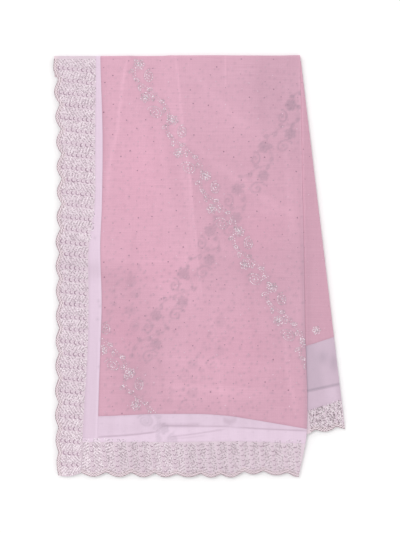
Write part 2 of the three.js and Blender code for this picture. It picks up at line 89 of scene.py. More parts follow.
@dataclass(frozen=True)
class Line:
    """One column of a table of stations, read on a smooth curve through its rows."""

    places: tuple[float, ...]
    values: tuple[float, ...]

    def __call__(self, x: Array | float) -> Array:
        """Reads the line.

        Args:
            x: Places along it.

        Returns:
            Its value at each place, held at the ends.
        """
        p, y = np.array(self.places, float), np.array(self.values, float)
        last = len(p) - 1
        i = np.clip(np.searchsorted(p, x, side="right") - 1, 0, last - 1)

        def slope(k: Array) -> Array:
            """Slope of the curve at row k, from the rows on both sides."""
            low, high = np.clip(k - 1, 0, last), np.clip(k + 1, 0, last)
            return (y[high] - y[low]) / (p[high] - p[low])

        span = p[i + 1] - p[i]
        t = np.clip((x - p[i]) / span, 0, 1)
        start, end = slope(i) * span, slope(i + 1) * span
        cubic = 2 * y[i] - 2 * y[i + 1] + start + end
        square = 3 * y[i + 1] - 3 * y[i] - 2 * start - end
        return ((cubic * t + square) * t + start) * t + y[i]


def lines(names: str, *rows: tuple[float, ...]) -> SimpleNamespace:
    """Turns a table of stations into its lines.

    Args:
        names: The lines' names.
        *rows: A row for each station: its place, and the value of each line there.

    Returns:
        The lines by name.
    """
    places, *columns = zip(*rows)
    return SimpleNamespace(**{name: Line(places, column) for name, column in zip(names.split(), columns)})


# Along the scalloped side, by height above the hem.
SIDE_AT = lines(
    "tip depth lace strip",
    (0, 8, 3, 59.7, 97),
    (133, 4, 8, 66, 97.5),
    (278, 5, 8, 74.5, 102),
    (380, 6, 8, 76.5, 105),
    (500, 5, 9.5, 77, 102),
    (590, 7.7, 11.5, 89.5, 105.5),
    (742, 6, 12, 91, 107),
    (880, 0, 10, 92, 103),
    (STRETCH, 0, 1, 92, 102),
)
# Across the scalloped end, by distance from the side.
HEM_AT = lines(
    "tip depth lace tuck panel",
    (0, 3, 5, 76, 87, 133),
    (97, 2, 10, 77, 87, 133),
    (218, 1, 10, 77, 97.5, 138),
    (240, 1, 8, 77, 111, 138),
    (318, 1, 8, 78, 111.5, 138),
    (380, 0, 9, 79, 110, 134),
    (426, 7, 9, 78, 107, 127),
    (485, 5, 8, 76, 104, 117),
    (549, 0, 8, 74, 101, 106),
)
# The right-hand fold, the edge of what lies below and the dart, by height above the hem.
CREASE_AT = lines(
    "fold edge dart",
    (0, 532, 391, 118),
    (104, HALF_WIDTH, 378, 118),
    (340, 546, 334, 117),
    (520, 543, 306, 116),
    (650, 540, 298, 119),
    (820, 537, 271, 155),
    (STRETCH, 535.5, 266, 162),
)
# Seams of the second stretch, measured down it, by distance in from its fold.
UNDER_AT = lines(
    "panel tuck lace tip",
    (0, 615, 722, 753, 816),
    (60, 627, 727, 765, 817),
    (130, 640, 733, 775, 820),
    (330, 660, 745, 786, 824),
)


def smooth(low: Array | float, high: Array | float, x: Array | float) -> Array:
    """A soft step from 0 at low to 1 at high."""
    t = np.clip((x - low) / (high - low), 0, 1)
    return t * t * (3 - 2 * t)


def ridge(distance: Array, width: float) -> Array:
    """A soft ridge of height 1 on its line, gone about two widths away."""
    return np.exp(-((distance / width) ** 2))


def lobe(passed: Array | float) -> Array:
    """Height of a round scallop, 0 in its valleys and 1 at its tip, by how many are passed."""
    return np.abs(np.sin(math.pi * passed))


def side_scallops(v: Array) -> Array:
    """How many of the side's scallops lie below a height."""
    return np.asarray(v) / SIDE_PITCH


def hem_scallops(u: Array) -> Array:
    """How many of the end's scallops lie before a distance from the side."""
    return np.interp(u, HEM_VALLEYS, np.arange(len(HEM_VALLEYS)))


def side_edge(v: Array) -> Array:
    """Outer edge of the side lace at each height."""
    return SIDE_AT.tip(v) + SIDE_AT.depth(v) * (1 - lobe(side_scallops(v)))


def hem_edge(u: Array) -> Array:
    """Outer edge of the hem lace at each distance from the side."""
    return HEM_AT.tip(u) + HEM_AT.depth(u) * (1 - lobe(hem_scallops(u)))


# ------------------------------------------------------------------ how the cloth lies


@dataclass(frozen=True)
class Crease:
    """A crease: a soft ridge, or a trough where its height is negative."""

    start: Pair
    end: Pair
    height: float
    width: float

    def at(self, u: Array, v: Array) -> Array:
        """Height that the crease adds at each flat point, fading towards its ends.

        Args:
            u: Flat places across.
            v: Flat places along.

        Returns:
            A value for each point.
        """
        (u0, v0), (u1, v1) = self.start, self.end
        du, dv = u1 - u0, v1 - v0
        length = math.hypot(du, dv)
        t = ((u - u0) * du + (v - v0) * dv) / length**2
        off = ((u - u0) * dv - (v - v0) * du) / length
        bow = off - self.width * 0.8 * np.sin(3.1 * t)
        return self.height * ridge(bow, self.width) * smooth(-0.08, 0.12, t) * smooth(1.08, 0.88, t)


@dataclass(frozen=True)
class Shade:
    """A soft patch of deeper colour, or of a lighter one where its amount is negative."""

    centre: Pair
    reach: Pair
    degrees: float
    amount: float

    def at(self, u: Array, v: Array) -> Array:
        """How much deeper the cloth is at each flat point.

        Args:
            u: Flat places across.
            v: Flat places along.

        Returns:
            A value for each point.
        """
        c, s = math.cos(math.radians(self.degrees)), math.sin(math.radians(self.degrees))
        across, along = u - self.centre[0], v - self.centre[1]
        x, y = across * c + along * s, along * c - across * s
        return self.amount * np.exp(-((x / self.reach[0]) ** 2) - (y / self.reach[1]) ** 2)


def laid_out(kind: type, *rows: tuple[float, ...]) -> tuple:
    """Creases by start, end, height and width, or shades by centre, reach, degrees and amount."""
    return tuple(kind(row[:2], row[2:4], *row[4:]) for row in rows)


def total(parts: tuple[Crease | Shade, ...], u: Array, v: Array) -> Array:
    """What creases or shades add up to at each flat point."""
    return sum(part.at(u, v) for part in parts)


# Besides their relief, their heights paint the front stretch's tone: painted light on each ridge and
# painted shade in each trough.
FRONT_CREASES = laid_out(
    Crease,
    (266, 914, 298, 640, 0.5, 2.6), (298, 655, 312, 500, 0.5, 2.4), (311, 515, 323, 400, 0.35, 3.0),
    (374, 914, 374, 850, 0.5, 1.8), (162, 912, 139, 745, 0.4, 4.0), (139, 755, 118, 620, 0.35, 4.5),
    (296, 890, 430, 752, 0.2, 9.0), (292, 735, 482, 602, 0.22, 10.0), (383, 655, 526, 570, 0.2, 9.0),
    (330, 520, 520, 440, 0.16, 10.0), (209, 900, 230, 640, -0.16, 9.0),
    (452, 905, 470, 700, -0.2, 12.0), (505, 860, 520, 520, 0.2, 7.0), (412, 560, 455, 250, -0.16, 11.0),
    (180, 540, 165, 300, -0.16, 10.0), (110, 478, 250, 468, 0.22, 5.0), (240, 262, 520, 240, 0.16, 9.0),
    (230, 205, 470, 186, 0.16, 8.0), (500, 330, 528, 140, 0.3, 6.0), (345, 360, 372, 150, 0.2, 6.0),
    (230, 330, 246, 150, -0.16, 8.0), (250, 88, 371, 105, -0.5, 1.8), (379, 150, 384, 30, -0.5, 2.4),
    (222, 128, 219, 84, -0.4, 3.0), (160, 130, 158, 92, 0.3, 2.4), (433, 128, 437, 84, 0.3, 3.0),
    (98, 560, 95, 330, 0.25, 4.0), (99, 300, 94, 120, -0.25, 3.5), (84, 640, 82, 450, 0.2, 4.0),
)
# Front stretch's tone: deeper over more cloth below, with painted light and shade of its folds.
FRONT_SHADES = laid_out(
    Shade,
    (125, 440, 52, 34, 0, 0.3), (150, 330, 60, 95, 0, 0.25), (109, 750, 7, 135, 0, 0.4),
    (250, 700, 8, 190, 7, 0.2), (340, 235, 115, 42, 0, -0.3), (255, 445, 60, 22, 0, 0.2),
    (430, 470, 60, 40, -30, 0.15), (170, 172, 45, 28, 0, 0.25), (205, 640, 45, 110, 5, -0.12),
    (330, 182, 100, 22, 0, -0.35), (470, 400, 40, 50, 0, 0.28), (245, 340, 50, 40, 0, 0.2),
    (180, 235, 40, 30, 0, 0.3), (459, 741, 22, 25, 0, -0.35), (450, 622, 45, 9, -22, 0.3),
    (468, 575, 40, 10, -22, -0.2), (303, 437, 18, 14, 0, 0.4), (285, 466, 14, 14, 0, -0.25),
    (320, 540, 20, 60, 0, -0.2), (272, 635, 10, 125, 9.8, 0.3), (166, 355, 10, 30, 0, -0.3),
    (400, 880, 120, 50, 0, -0.2), (394, 770, 90, 100, 0, -0.17), (450, 640, 35, 60, 0, -0.12),
    (437, 311, 80, 110, 0, 0.14), (530, 850, 26, 90, 0, -0.3),
)
FRONT_BLUSHES = laid_out(
    Shade,
    (190, 640, 75, 150, 0, 0.15), (230, 450, 70, 60, 0, 0.1), (450, 540, 60, 50, 0, 0.1),
    (150, 310, 45, 60, 0, 0.13), (400, 280, 90, 80, 0, 0.14), (400, 860, 130, 70, 0, -0.18),
    (530, 470, 25, 70, 0, -0.12), (190, 200, 25, 35, 0, -0.12),
)
UNDER_CREASES = laid_out(
    Crease,
    (26, 250, 30, 600, -0.3, 6.0), (12, 380, 10, 650, 0.22, 4.0), (38, 640, 34, 715, 0.25, 4.0),
    (70, 300, 64, 560, 0.25, 8.0), (4, 732, 44, 752, 0.4, 2.2), (6, 744, 40, 760, -0.35, 2.2),
)


def front_base(u: Array, v: Array) -> Array:
    """Height of the underside of the front stretch above the surface that the saree lies on.

    Args:
        u: Flat places across.
        v: Flat places along.

    Returns:
        A height for each point.
    """
    edge, fold, dart = CREASE_AT.edge(v), CREASE_AT.fold(v), CREASE_AT.dart(v)
    on_second = STEP * smooth(edge - 35, edge - 10, u) * smooth(45, 78, v)
    to_fold = WALL * smooth(fold - 45, fold - 8, u)
    beside_edge = 0.35 * ridge(u - edge + 10, 9)
    dart_ridge = 0.8 * smooth(560, 700, v) * ridge(u - dart, 13)
    sag = 0.5 * (1 + np.sin(u / 47 + v / 130)) * smooth(150, 260, u)
    hem_wave = 0.55 * (1 + np.sin(u / 21)) * (1 - smooth(40, 125, v)) * smooth(60, 110, u)
    return BASE + on_second + to_fold + beside_edge + dart_ridge + sag + hem_wave


class FrontLay:
    """The front stretch: flat on the stack, round its far fold and round its right-hand fold."""

    top_of_turn = FOLD_LINE + math.pi * FOLD_ROUND
    full_length = top_of_turn + TURNED_UNDER

    def place(self, w: Array, q: Array, rise: Array | float = 0.0) -> Array:
        """Folds flat points over the stack.

        Args:
            w: Distance across the cloth from the scalloped side, round the right-hand fold.
            q: Distance along the cloth from the hem, round the far fold.
            rise: How far each point stands proud of the cloth's outer face.

        Returns:
            The points, in metres in the frame.
        """
        flat = np.minimum(q, FOLD_LINE)
        start = CREASE_AT.fold(flat) - TUCK
        angle = np.clip((w - start) / TUCK, 0, math.pi)
        back = np.maximum(w - start - math.pi * TUCK, 0)
        r = TUCK + rise
        u = np.minimum(w, start) + r * np.sin(angle) - back
        drop = TUCK - r * np.cos(angle)
        base = front_base(np.minimum(w, start), flat)
        top = base + WALL + total(FRONT_CREASES, u, flat) * smooth(start, start - 12, w)
        half = (base + WALL) / 2
        turn = np.clip((q - FOLD_LINE) / FOLD_ROUND, 0, math.pi)
        under = np.maximum(q - self.top_of_turn, 0)
        arm = np.where(q <= FOLD_LINE, top - half, half) - drop
        y = flat + arm * np.sin(turn) - under
        z = half + arm * np.cos(turn)
        return in_frame(u, y, z)

    def rows(self, low: Array | float, share: Array, flat_share: float = 0.9) -> Array:
        """Spreads rows from a line on top to the end of the cloth turned under the stack.

        Args:
            low: Where the rows begin, for each point.
            share: 0 to 1 for each point.
            flat_share: Share of the rows that lie on top.

        Returns:
            Distance along the cloth for each point.
        """
        on_top = low + (FOLD_LINE - low) * np.minimum(share / flat_share, 1)
        turned = flat_share + 0.7 * (1 - flat_share)
        lengths = [0, self.top_of_turn - FOLD_LINE, self.full_length - FOLD_LINE]
        return on_top + np.interp(share, [flat_share, turned, 1], lengths)

    def columns(self, left: Array, v: Array, share: Array, flat_share: float = 0.93) -> Array:
        """Spreads columns from a seam, round the right-hand fold, to a short return under it.

        Args:
            left: Where the columns begin, for each point.
            v: Height of each point above the hem.
            share: 0 to 1 for each point.
            flat_share: Share of the columns that lie on top.

        Returns:
            Distance across the cloth for each point.
        """
        start = CREASE_AT.fold(np.minimum(v, FOLD_LINE)) - TUCK
        on_top = left + (start - left) * np.minimum(share / flat_share, 1)
        over = np.interp(share, [flat_share, 0.98, 1], [0, math.pi * TUCK, math.pi * TUCK + 9])
        return on_top + over


class UnderLay:
    """The second stretch, turned about the far fold so that it fans out on the right."""

    turn = math.radians(6.85)
    pivot = (float(CREASE_AT.fold(STRETCH)), STRETCH - 1)
    edge_round = 0.6
    start = 12.0

    def spot(self, across: Array, down: Array) -> Spot:
        """Flat u and v of a point measured in from the fold and down from the far edge.

        Args:
            across: Distances in from the right-hand fold.
            down: Distances down from the far edge.

        Returns:
            Two distances for each point.
        """
        sine, cosine = math.sin(self.turn), math.cos(self.turn)
        u = self.pivot[0] + down * sine - across * cosine
        v = self.pivot[1] - down * cosine - across * sine
        return u, v

    def place(self, across: Array, down: Array, rise: Array | float = 0.0) -> Array:
        """Places points of the second stretch; below 0 across, they go round its fold.

        Args:
            across: Distance in from the right-hand fold.
            down: Distance down the stretch from the far edge.
            rise: How far each point stands proud of the cloth's outer face.

        Returns:
            The points, in metres in the frame.
        """
        r = self.edge_round
        angle = np.clip((r - across) / r, 0, math.pi)
        back = np.maximum(r - across - math.pi * r, 0)
        inward = np.maximum(across, r) - (r + rise) * np.sin(angle) + back
        u, v = self.spot(inward, down)
        shown = smooth(6, 22, u - CREASE_AT.fold(v))
        wave = 0.45 * shown * (1 + np.sin(across / 11 + down / 60))
        relief = total(UNDER_CREASES, across, down) * shown
        z = BASE + wave + relief + WALL - r + (r + rise) * np.cos(angle)
        return in_frame(u, v, z)


def in_frame(u: Array, v: Array, z: Array) -> Array:
    """Flat coordinates and a height, in millimetres, as points in metres in the frame."""
    x, y, z = np.broadcast_arrays(u - MIDDLE_U, v - MIDDLE_V, z)
    return np.stack([x, y, z], axis=-1) * MM


FRONT = FrontLay()
BELOW = UnderLay()


# ------------------------------------------------------------------ finishes

LIGHT_LEVEL = 1.085  # how bright a white surface looks under the studio's light


def colour(red: int, green: int, blue: int) -> tuple[float, float, float, float]:
    """The base colour of a surface that shows as an 8-bit screen colour under the studio's light.

    Args:
        red: Its red channel.
        green: Its green channel.
        blue: Its blue channel.

    Returns:
        Its linear channels, with an alpha of 1.
    """
    shares = (channel / 255 for channel in (red, green, blue))
    linear = (c / 12.92 if c <= 0.04045 else ((c + 0.055) / 1.055) ** 2.4 for c in shares)
    return (*(c / LIGHT_LEVEL for c in linear), 1.0)


class Nodes:
    """A short way to add nodes to a material and join them."""

    def __init__(self, name: str) -> None:
        """Makes a material with one Principled shader.

        Args:
            name: The material's name.
        """
        self.material = bpy.data.materials.new(name)
        self.material.use_nodes = True
        self.tree = self.material.node_tree
        self.shader = self.tree.nodes["Principled BSDF"]
        self.place = self.tree.nodes.new("ShaderNodeTexCoord").outputs["Object"]

    def feed(self, node: bpy.types.Node, values: dict[str | int, object]) -> None:
        """Gives a node's inputs plain values or other nodes' outputs.

        Args:
            node: The node.
            values: What each input gets, by its name or number.
        """
        for name, value in values.items():
            if isinstance(value, Socket):
                self.tree.links.new(value, node.inputs[name])
            else:
                node.inputs[name].default_value = value

    def add(self, kind: str, values: dict, out: str | int = 0, **settings: object) -> Socket:
        """Adds a node.

        Args:
            kind: Its type, without the ShaderNode prefix.
            values: What each input gets, by its name or number.
            out: Name or number of the output that is wanted.
            **settings: Its properties.

        Returns:
            That output.
        """
        node = self.tree.nodes.new("ShaderNode" + kind)
        for name, value in settings.items():
            setattr(node, name, value)
        self.feed(node, values)
        return node.outputs[out]

    def attribute(self, name: str) -> Socket:
        """The value of one of the mesh's own attributes."""
        return self.add("Attribute", {}, "Fac", attribute_name=name)

    def stretched(self, scale: tuple[float, ...], turn: float = 0.0) -> Socket:
        """Object coordinates scaled, and turned about the vertical."""
        return self.add("Mapping", {"Vector": self.place, "Scale": scale, "Rotation": (0, 0, turn)})

    def noise(self, *scale: float, detail: float = 2.0) -> Socket:
        """Noise whose grain is one over the scale, in metres each way, or in every way alike."""
        vector = self.stretched(scale if len(scale) == 3 else scale * 3)
        return self.add("TexNoise", {"Vector": vector, "Scale": 1.0, "Detail": detail}, "Fac")

    def bands(self, pitch: float, turn: float, distortion: float) -> Socket:
        """Even bands of a pitch in metres, turned about the vertical.

        Args:
            pitch: Distance from one to the next.
            turn: Their turn in radians.
            distortion: How far they waver.

        Returns:
            The bands, from 0 to 1.
        """
        values = {"Scale": 1.0, "Distortion": distortion, "Detail": 1.0}
        values["Vector"] = self.stretched((math.pi / (10 * pitch),) * 3, turn)
        return self.add("TexWave", values, "Fac")

    def crossed(self, pitch: float, turn: float, distortion: float) -> Socket:
        """Bands of threads crossed by others at right angles, the first of them turned."""
        one, other = (self.bands(pitch, way, distortion) for way in (turn, turn - math.pi / 2))
        return self.times(one, other)

    def times(self, a: Socket, b: Socket | float) -> Socket:
        """The product of two values."""
        return self.add("Math", {0: a, 1: b}, operation="MULTIPLY")

    def plus(self, a: Socket, b: Socket) -> Socket:
        """The sum of two values."""
        return self.add("Math", {0: a, 1: b}, operation="ADD")

    def ramp(self, value: Socket, low: float, high: float) -> Socket:
        """Spreads a value between low and high over 0 to 1."""
        return self.add("MapRange", {"Value": value, "From Min": low, "From Max": high})

    def mix(self, share: object, a: object, b: object) -> Socket:
        """Mixes two colours, each a socket, three screen channels or four linear ones.

        Args:
            share: How much of the second one: a socket, or the name of an attribute.
            a: First colour.
            b: Second colour.

        Returns:
            The mixed colour.
        """
        share = self.attribute(share) if isinstance(share, str) else share
        ends = (colour(*end) if isinstance(end, tuple) and len(end) == 3 else end for end in (a, b))
        return self.add("Mix", dict(zip((0, 6, 7), (share, *ends))), 2, data_type="RGBA")

    def bump(self, height: Socket, depth: float) -> None:
        """Sends a height to the shader as a bump of a depth in metres."""
        normal = self.add("Bump", {"Height": height, "Strength": 0.7, "Distance": depth})
        self.feed(self.shader, {"Normal": normal})

    def surface(self, base: Socket, **values: float) -> bpy.types.Material:
        """Sends a colour to the shader and sets its plain values.

        Args:
            base: The base colour.
            **values: Shader sockets by name, with underscores for spaces.

        Returns:
            The finished material.
        """
        named = {name.replace("_", " ").title(): value for name, value in values.items()}
        self.feed(self.shader, {"Base Color": base, **named})
        return self.material


@dataclass(frozen=True)
class Look:
    """What every finish has: a name, and the colours that it runs between."""

    name: str
    light: Colour
    deep: Colour


@dataclass(frozen=True)
class Georgette(Look):
    """Sheer crinkled cloth: it takes a greyer tone and a soft shadow from what lies below."""

    below: Colour
    blush: Colour
    hollows: tuple[float, ...] = (0.35, 0.14, 0.22, 1)
    yarn: float = 0.0011
    roughness: float = 0.8
    slot: str = "georgette"

    def make(self) -> bpy.types.Material:
        """Builds the material; the mesh gives tone, from light to deep, blush and below."""
        n = Nodes(self.name)
        base = n.mix("tone", self.light, self.deep)
        base = n.mix("blush", base, self.blush)
        base = n.mix("below", base, self.below)
        cloudy = n.ramp(n.noise(9, 6, 9, detail=3), 0.3, 0.7)
        base = n.mix(n.times(cloudy, 0.2), base, self.deep)
        slubs = n.plus(n.noise(14, 420, 14, detail=1), n.times(n.noise(420, 10, 14, detail=1), 0.5))
        grain = n.ramp(n.plus(slubs, n.noise(700)), 0.95, 1.55)
        base = n.mix(n.times(grain, 0.17), base, self.hollows)
        n.bump(n.plus(n.crossed(self.yarn, math.pi / 2, 2), n.noise(450, detail=3)), 0.00035)
        return n.surface(base, roughness=self.roughness, sheen_weight=0.2, sheen_roughness=0.45)


@dataclass(frozen=True)
class Facing(Look):
    """The smooth lilac cloth of the strips and bands."""

    below: Colour
    hollows: tuple[float, ...] = (0.42, 0.3, 0.42, 1)
    yarn: float = 0.0008
    roughness: float = 0.55
    slot: str = "facing"

    def make(self) -> bpy.types.Material:
        """Builds the material; the mesh gives tone, from light to deep, and below."""
        n = Nodes(self.name)
        base = n.mix("below", n.mix("tone", self.light, self.deep), self.below)
        slubs = n.plus(n.noise(30, 500, 14, detail=1), n.noise(500, 24, 14, detail=1))
        base = n.mix(n.times(n.ramp(slubs, 0.7, 1.3), 0.09), base, self.hollows)
        n.bump(n.plus(n.crossed(self.yarn, math.pi / 2, 1), n.noise(300)), 0.00022)
        return n.surface(base, roughness=self.roughness, sheen_weight=0.25, sheen_roughness=0.35)


@dataclass(frozen=True)
class Net(Look):
    """The lace's ground: a diagonal net with paler and darker threads and a pale rim."""

    rim: Colour
    mesh: float = 0.0026
    roughness: float = 0.6
    slot: str = "lace"

    def make(self) -> bpy.types.Material:
        """Builds the material; the mesh gives tone, the sprigs' ground, and rim, the outer border."""
        n = Nodes(self.name)
        threads = n.crossed(self.mesh, math.pi / 4, 0.6)
        ground = n.mix(n.ramp(threads, 0.05, 0.6), self.deep, self.light)
        base = n.mix("rim", n.mix("tone", ground, self.light), self.rim)
        base = n.mix(n.times(n.ramp(n.noise(55), 0.35, 0.7), 0.3), base, self.deep)
        n.bump(n.plus(threads, n.noise(600, detail=1)), 0.0006)
        return n.surface(base, roughness=self.roughness, sheen_weight=0.15)


@dataclass(frozen=True)
class Thread(Look):
    """Embroidery thread: a soft gloss with fine strands."""

    roughness: float = 0.42
    slot: str = "lace"

    def make(self) -> bpy.types.Material:
        """Builds the material; the mesh gives glint, a shade for each stitch."""
        n = Nodes(self.name)
        strands = n.times(n.noise(1400, detail=1), 0.5)
        share = n.plus(n.times(n.attribute("glint"), 0.75), strands)
        base = n.mix(n.ramp(share, 0.1, 1.0), self.light, self.deep)
        n.bump(n.noise(1100), 0.0003)
        return n.surface(base, roughness=self.roughness, sheen_weight=0.2)


@dataclass(frozen=True)
class Stone(Look):
    """Small faceted stones and sequins, some with a painted glint and some dull."""

    metallic: float
    roughness: float
    slot: str

    def make(self) -> bpy.types.Material:
        """Builds the material; the mesh gives glint, a shade for each stone."""
        n = Nodes(self.name)
        scratches = n.times(n.noise(900, detail=1), 0.2)
        share = n.ramp(n.plus(n.attribute("glint"), scratches), 0.1, 1.1)
        base = n.mix(share, self.light, self.deep)
        return n.surface(base, roughness=self.roughness, metallic=self.metallic)


@dataclass(frozen=True)
class Ground:
    """The pale surface that the saree lies on."""

    name: str = "pale_floor"
    light: tuple[float, ...] = (0.95, 0.95, 0.95, 1)
    deep: tuple[float, ...] = (0.93, 0.93, 0.935, 1)

    def make(self) -> bpy.types.Material:
        """Builds a matt near-white material with the faintest mottling."""
        n = Nodes(self.name)
        return n.surface(n.mix(n.noise(2), self.deep, self.light), roughness=0.9)


class Finish(Enum):
    """Every finish of the saree; each names the material slot that it stands for."""

    # The below colours also carry painted shadow: by the front fold and along the tucks.
    PINK = Georgette("pink_georgette", (241, 189, 210), (206, 160, 179), (174, 146, 162), (240, 160, 190))
    LILAC = Facing("lilac_facing", (233, 210, 229), (208, 184, 202), (172, 154, 170))
    LACE = Net("lace_net", (239, 221, 232), (208, 187, 200), (232, 212, 219))
    SPRIG = Thread("sprig_thread", (188, 160, 180), (148, 118, 138))
    CORD = Thread("edge_cord", (200, 178, 184), (146, 122, 130))
    # The stones' and sequins' light ends are painted glints; each one's glint picks its shade.
    SILVER = Stone("silver_stones", (254, 246, 252), (166, 152, 160), 0.05, 0.3, "georgette")
    DOT = Stone("field_dots", (234, 206, 220), (150, 112, 132), 0.1, 0.35, "georgette")
    SEQUIN = Stone("lace_sequins", (264, 258, 261), (112, 92, 100), 0.0, 0.3, "lace")


# ------------------------------------------------------------------ making meshes

MATERIALS: dict[Finish, bpy.types.Material] = {}
CLOTH_CREASE, CORD_CREASE, STACK_CREASE = 50, 60, 45  # degrees that still look smooth


def dress(piece: Object, *finishes: Finish) -> None:
    """Gives a piece its finishes, one for each material slot."""
    piece.data.materials.clear()
    for finish in finishes:
        if finish not in MATERIALS:
            MATERIALS[finish] = finish.value.make()
        piece.data.materials.append(MATERIALS[finish])


def deselect() -> None:
    """Leaves nothing selected."""
    for thing in bpy.context.selected_objects:
        thing.select_set(False)


def pick(piece: Object) -> None:
    """Selects one object and makes it active.

    Args:
        piece: The object.
    """
    deselect()
    piece.select_set(True)
    bpy.context.view_layer.objects.active = piece


@contextmanager
def edit_mode() -> Iterator[None]:
    """Keeps the active object in edit mode for a while."""
    bpy.ops.object.mode_set(mode="EDIT")
    yield
    bpy.ops.object.mode_set(mode="OBJECT")


def just_made(name: str) -> Object:
    """The object that an operator has just made, under its own name.

    Args:
        name: Its name.

    Returns:
        The object.
    """
    piece = bpy.context.active_object
    piece.name = piece.data.name = name
    return piece


def points_of(piece: Object) -> Array:
    """The places of an object's vertices, a row for each.

    Args:
        piece: The object.

    Returns:
        Their places.
    """
    flat = np.empty(len(piece.data.vertices) * 3)
    piece.data.vertices.foreach_get("co", flat)
    return flat.reshape(-1, 3)


def move_points(piece: Object, points: Array) -> None:
    """Moves an object's vertices to new places."""
    piece.data.vertices.foreach_set("co", points.ravel())
    piece.data.update()


def to_all_faces(piece: Object, operator: Callable, **settings: object) -> None:
    """Runs a mesh operator on every face of an object, such as one that turns them outwards."""
    pick(piece)
    with edit_mode():
        bpy.ops.mesh.select_all(action="SELECT")
        operator(**settings)


def smooth_faces(piece: Object, degrees: float) -> None:
    """Smooths an object's faces, but for edges sharper than an angle."""
    pick(piece)
    bpy.ops.object.shade_smooth_by_angle(angle=math.radians(degrees))


def finish_modifier(piece: Object, kind: str, **settings: object) -> None:
    """Adds a modifier to a piece and applies it.

    Args:
        piece: The object.
        kind: The modifier's type.
        **settings: Its properties.
    """
    pick(piece)
    modifier = piece.modifiers.new(kind.lower(), kind)
    for name, value in settings.items():
        setattr(modifier, name, value)
    bpy.ops.object.modifier_apply(modifier=modifier.name)


def paint(piece: Object, **layers: Array | float) -> None:
    """Writes attributes with one number for each vertex, or one number for them all."""
    for name, values in layers.items():
        layer = piece.data.attributes.new(name, "FLOAT", "POINT")
        spread = np.clip(values, 0, 1) + np.zeros(len(layer.data))
        layer.data.foreach_set("value", spread.astype(np.float32))


def thin_cloth(name: str, node: str, finish: Finish, gaps: Gaps, place: Read, **shades: Read) -> Object:
    """Lays a grid of cloth, gives it its thickness and its finish, and lets it stand for its node.

    Args:
        name: The piece's name.
        node: The CAD node that it replaces.
        finish: What it is made of.
        gaps: Columns and rows of the grid.
        place: Takes shares across and along, and returns points of the outer face in metres.
        **shades: Attributes worked out from the same shares.

    Returns:
        The piece, at the origin.
    """
    deselect()
    bpy.ops.mesh.primitive_grid_add(x_subdivisions=gaps[0], y_subdivisions=gaps[1], size=1)
    piece = just_made(name)
    across, along = points_of(piece)[:, :2].T + 0.5
    move_points(piece, place(across, along))
    if sum(face.normal.z * face.area for face in piece.data.polygons) < 0:
        to_all_faces(piece, bpy.ops.mesh.flip_normals)
    paint(piece, **{shade: value(across, along) for shade, value in shades.items()})
    finish_modifier(piece, "SOLIDIFY", thickness=CLOTH * MM, offset=-1.0, use_rim=True)
    smooth_faces(piece, CLOTH_CREASE)
    dress(piece, finish)
    return stand_for(piece, finish, node)


@dataclass(frozen=True)
class Shape:
    """A small shape that is modelled once and then copied many times."""

    points: Array
    faces: Array

    @classmethod
    def take(cls, piece: Object) -> "Shape":
        """Reads a modelled object's triangles and removes the object.

        Args:
            piece: The object.

        Returns:
            The shape.
        """
        finish_modifier(piece, "TRIANGULATE")
        points, mesh = points_of(piece), piece.data
        faces = np.array([face.vertices[:] for face in mesh.polygons])
        bpy.data.objects.remove(piece)
        bpy.data.meshes.remove(mesh)
        return cls(points, faces)


def faceted_stone() -> Shape:
    """A six-sided stone of radius 1 with a flat table."""
    deselect()
    bpy.ops.mesh.primitive_cone_add(vertices=6, radius1=1, radius2=0.55, depth=0.6, location=(0, 0, 0.3))
    bpy.ops.object.transform_apply(location=True, rotation=True, scale=True)
    return Shape.take(bpy.context.active_object)


LEAF_TALLNESS = 1.1


def crescent(reach: float = 118.0) -> Shape:
    """A stitched leaf: part of a ring of radius 1, fat in the middle and pointed at its ends.

    Args:
        reach: Degrees that the leaf reaches on each side of its middle.

    Returns:
        The leaf, open towards +X.
    """
    deselect()
    bpy.ops.mesh.primitive_torus_add(major_segments=14, minor_segments=4, major_radius=1, minor_radius=0.32)
    leaf = bpy.context.active_object
    with edit_mode():
        bpy.ops.mesh.select_all(action="DESELECT")
    for vertex in leaf.data.vertices:
        vertex.select = abs(math.degrees(math.atan2(vertex.co.y, -vertex.co.x))) > reach
    with edit_mode():
        bpy.ops.mesh.select_mode(type="VERT")
        bpy.ops.mesh.delete(type="VERT")
        bpy.ops.mesh.select_all(action="SELECT")
        bpy.ops.mesh.fill_holes(sides=0)
    for vertex in leaf.data.vertices:
        angle = math.atan2(vertex.co.y, -vertex.co.x)
        taper = 0.2 + 0.8 * math.cos(angle / math.radians(reach) * math.pi / 2.2)
        ring = (-math.cos(angle), math.sin(angle))
        vertex.co.x = ring[0] + (vertex.co.x - ring[0]) * taper
        vertex.co.y = LEAF_TALLNESS * (ring[1] + (vertex.co.y - ring[1]) * taper)
        vertex.co.z *= taper
    return Shape.take(leaf)


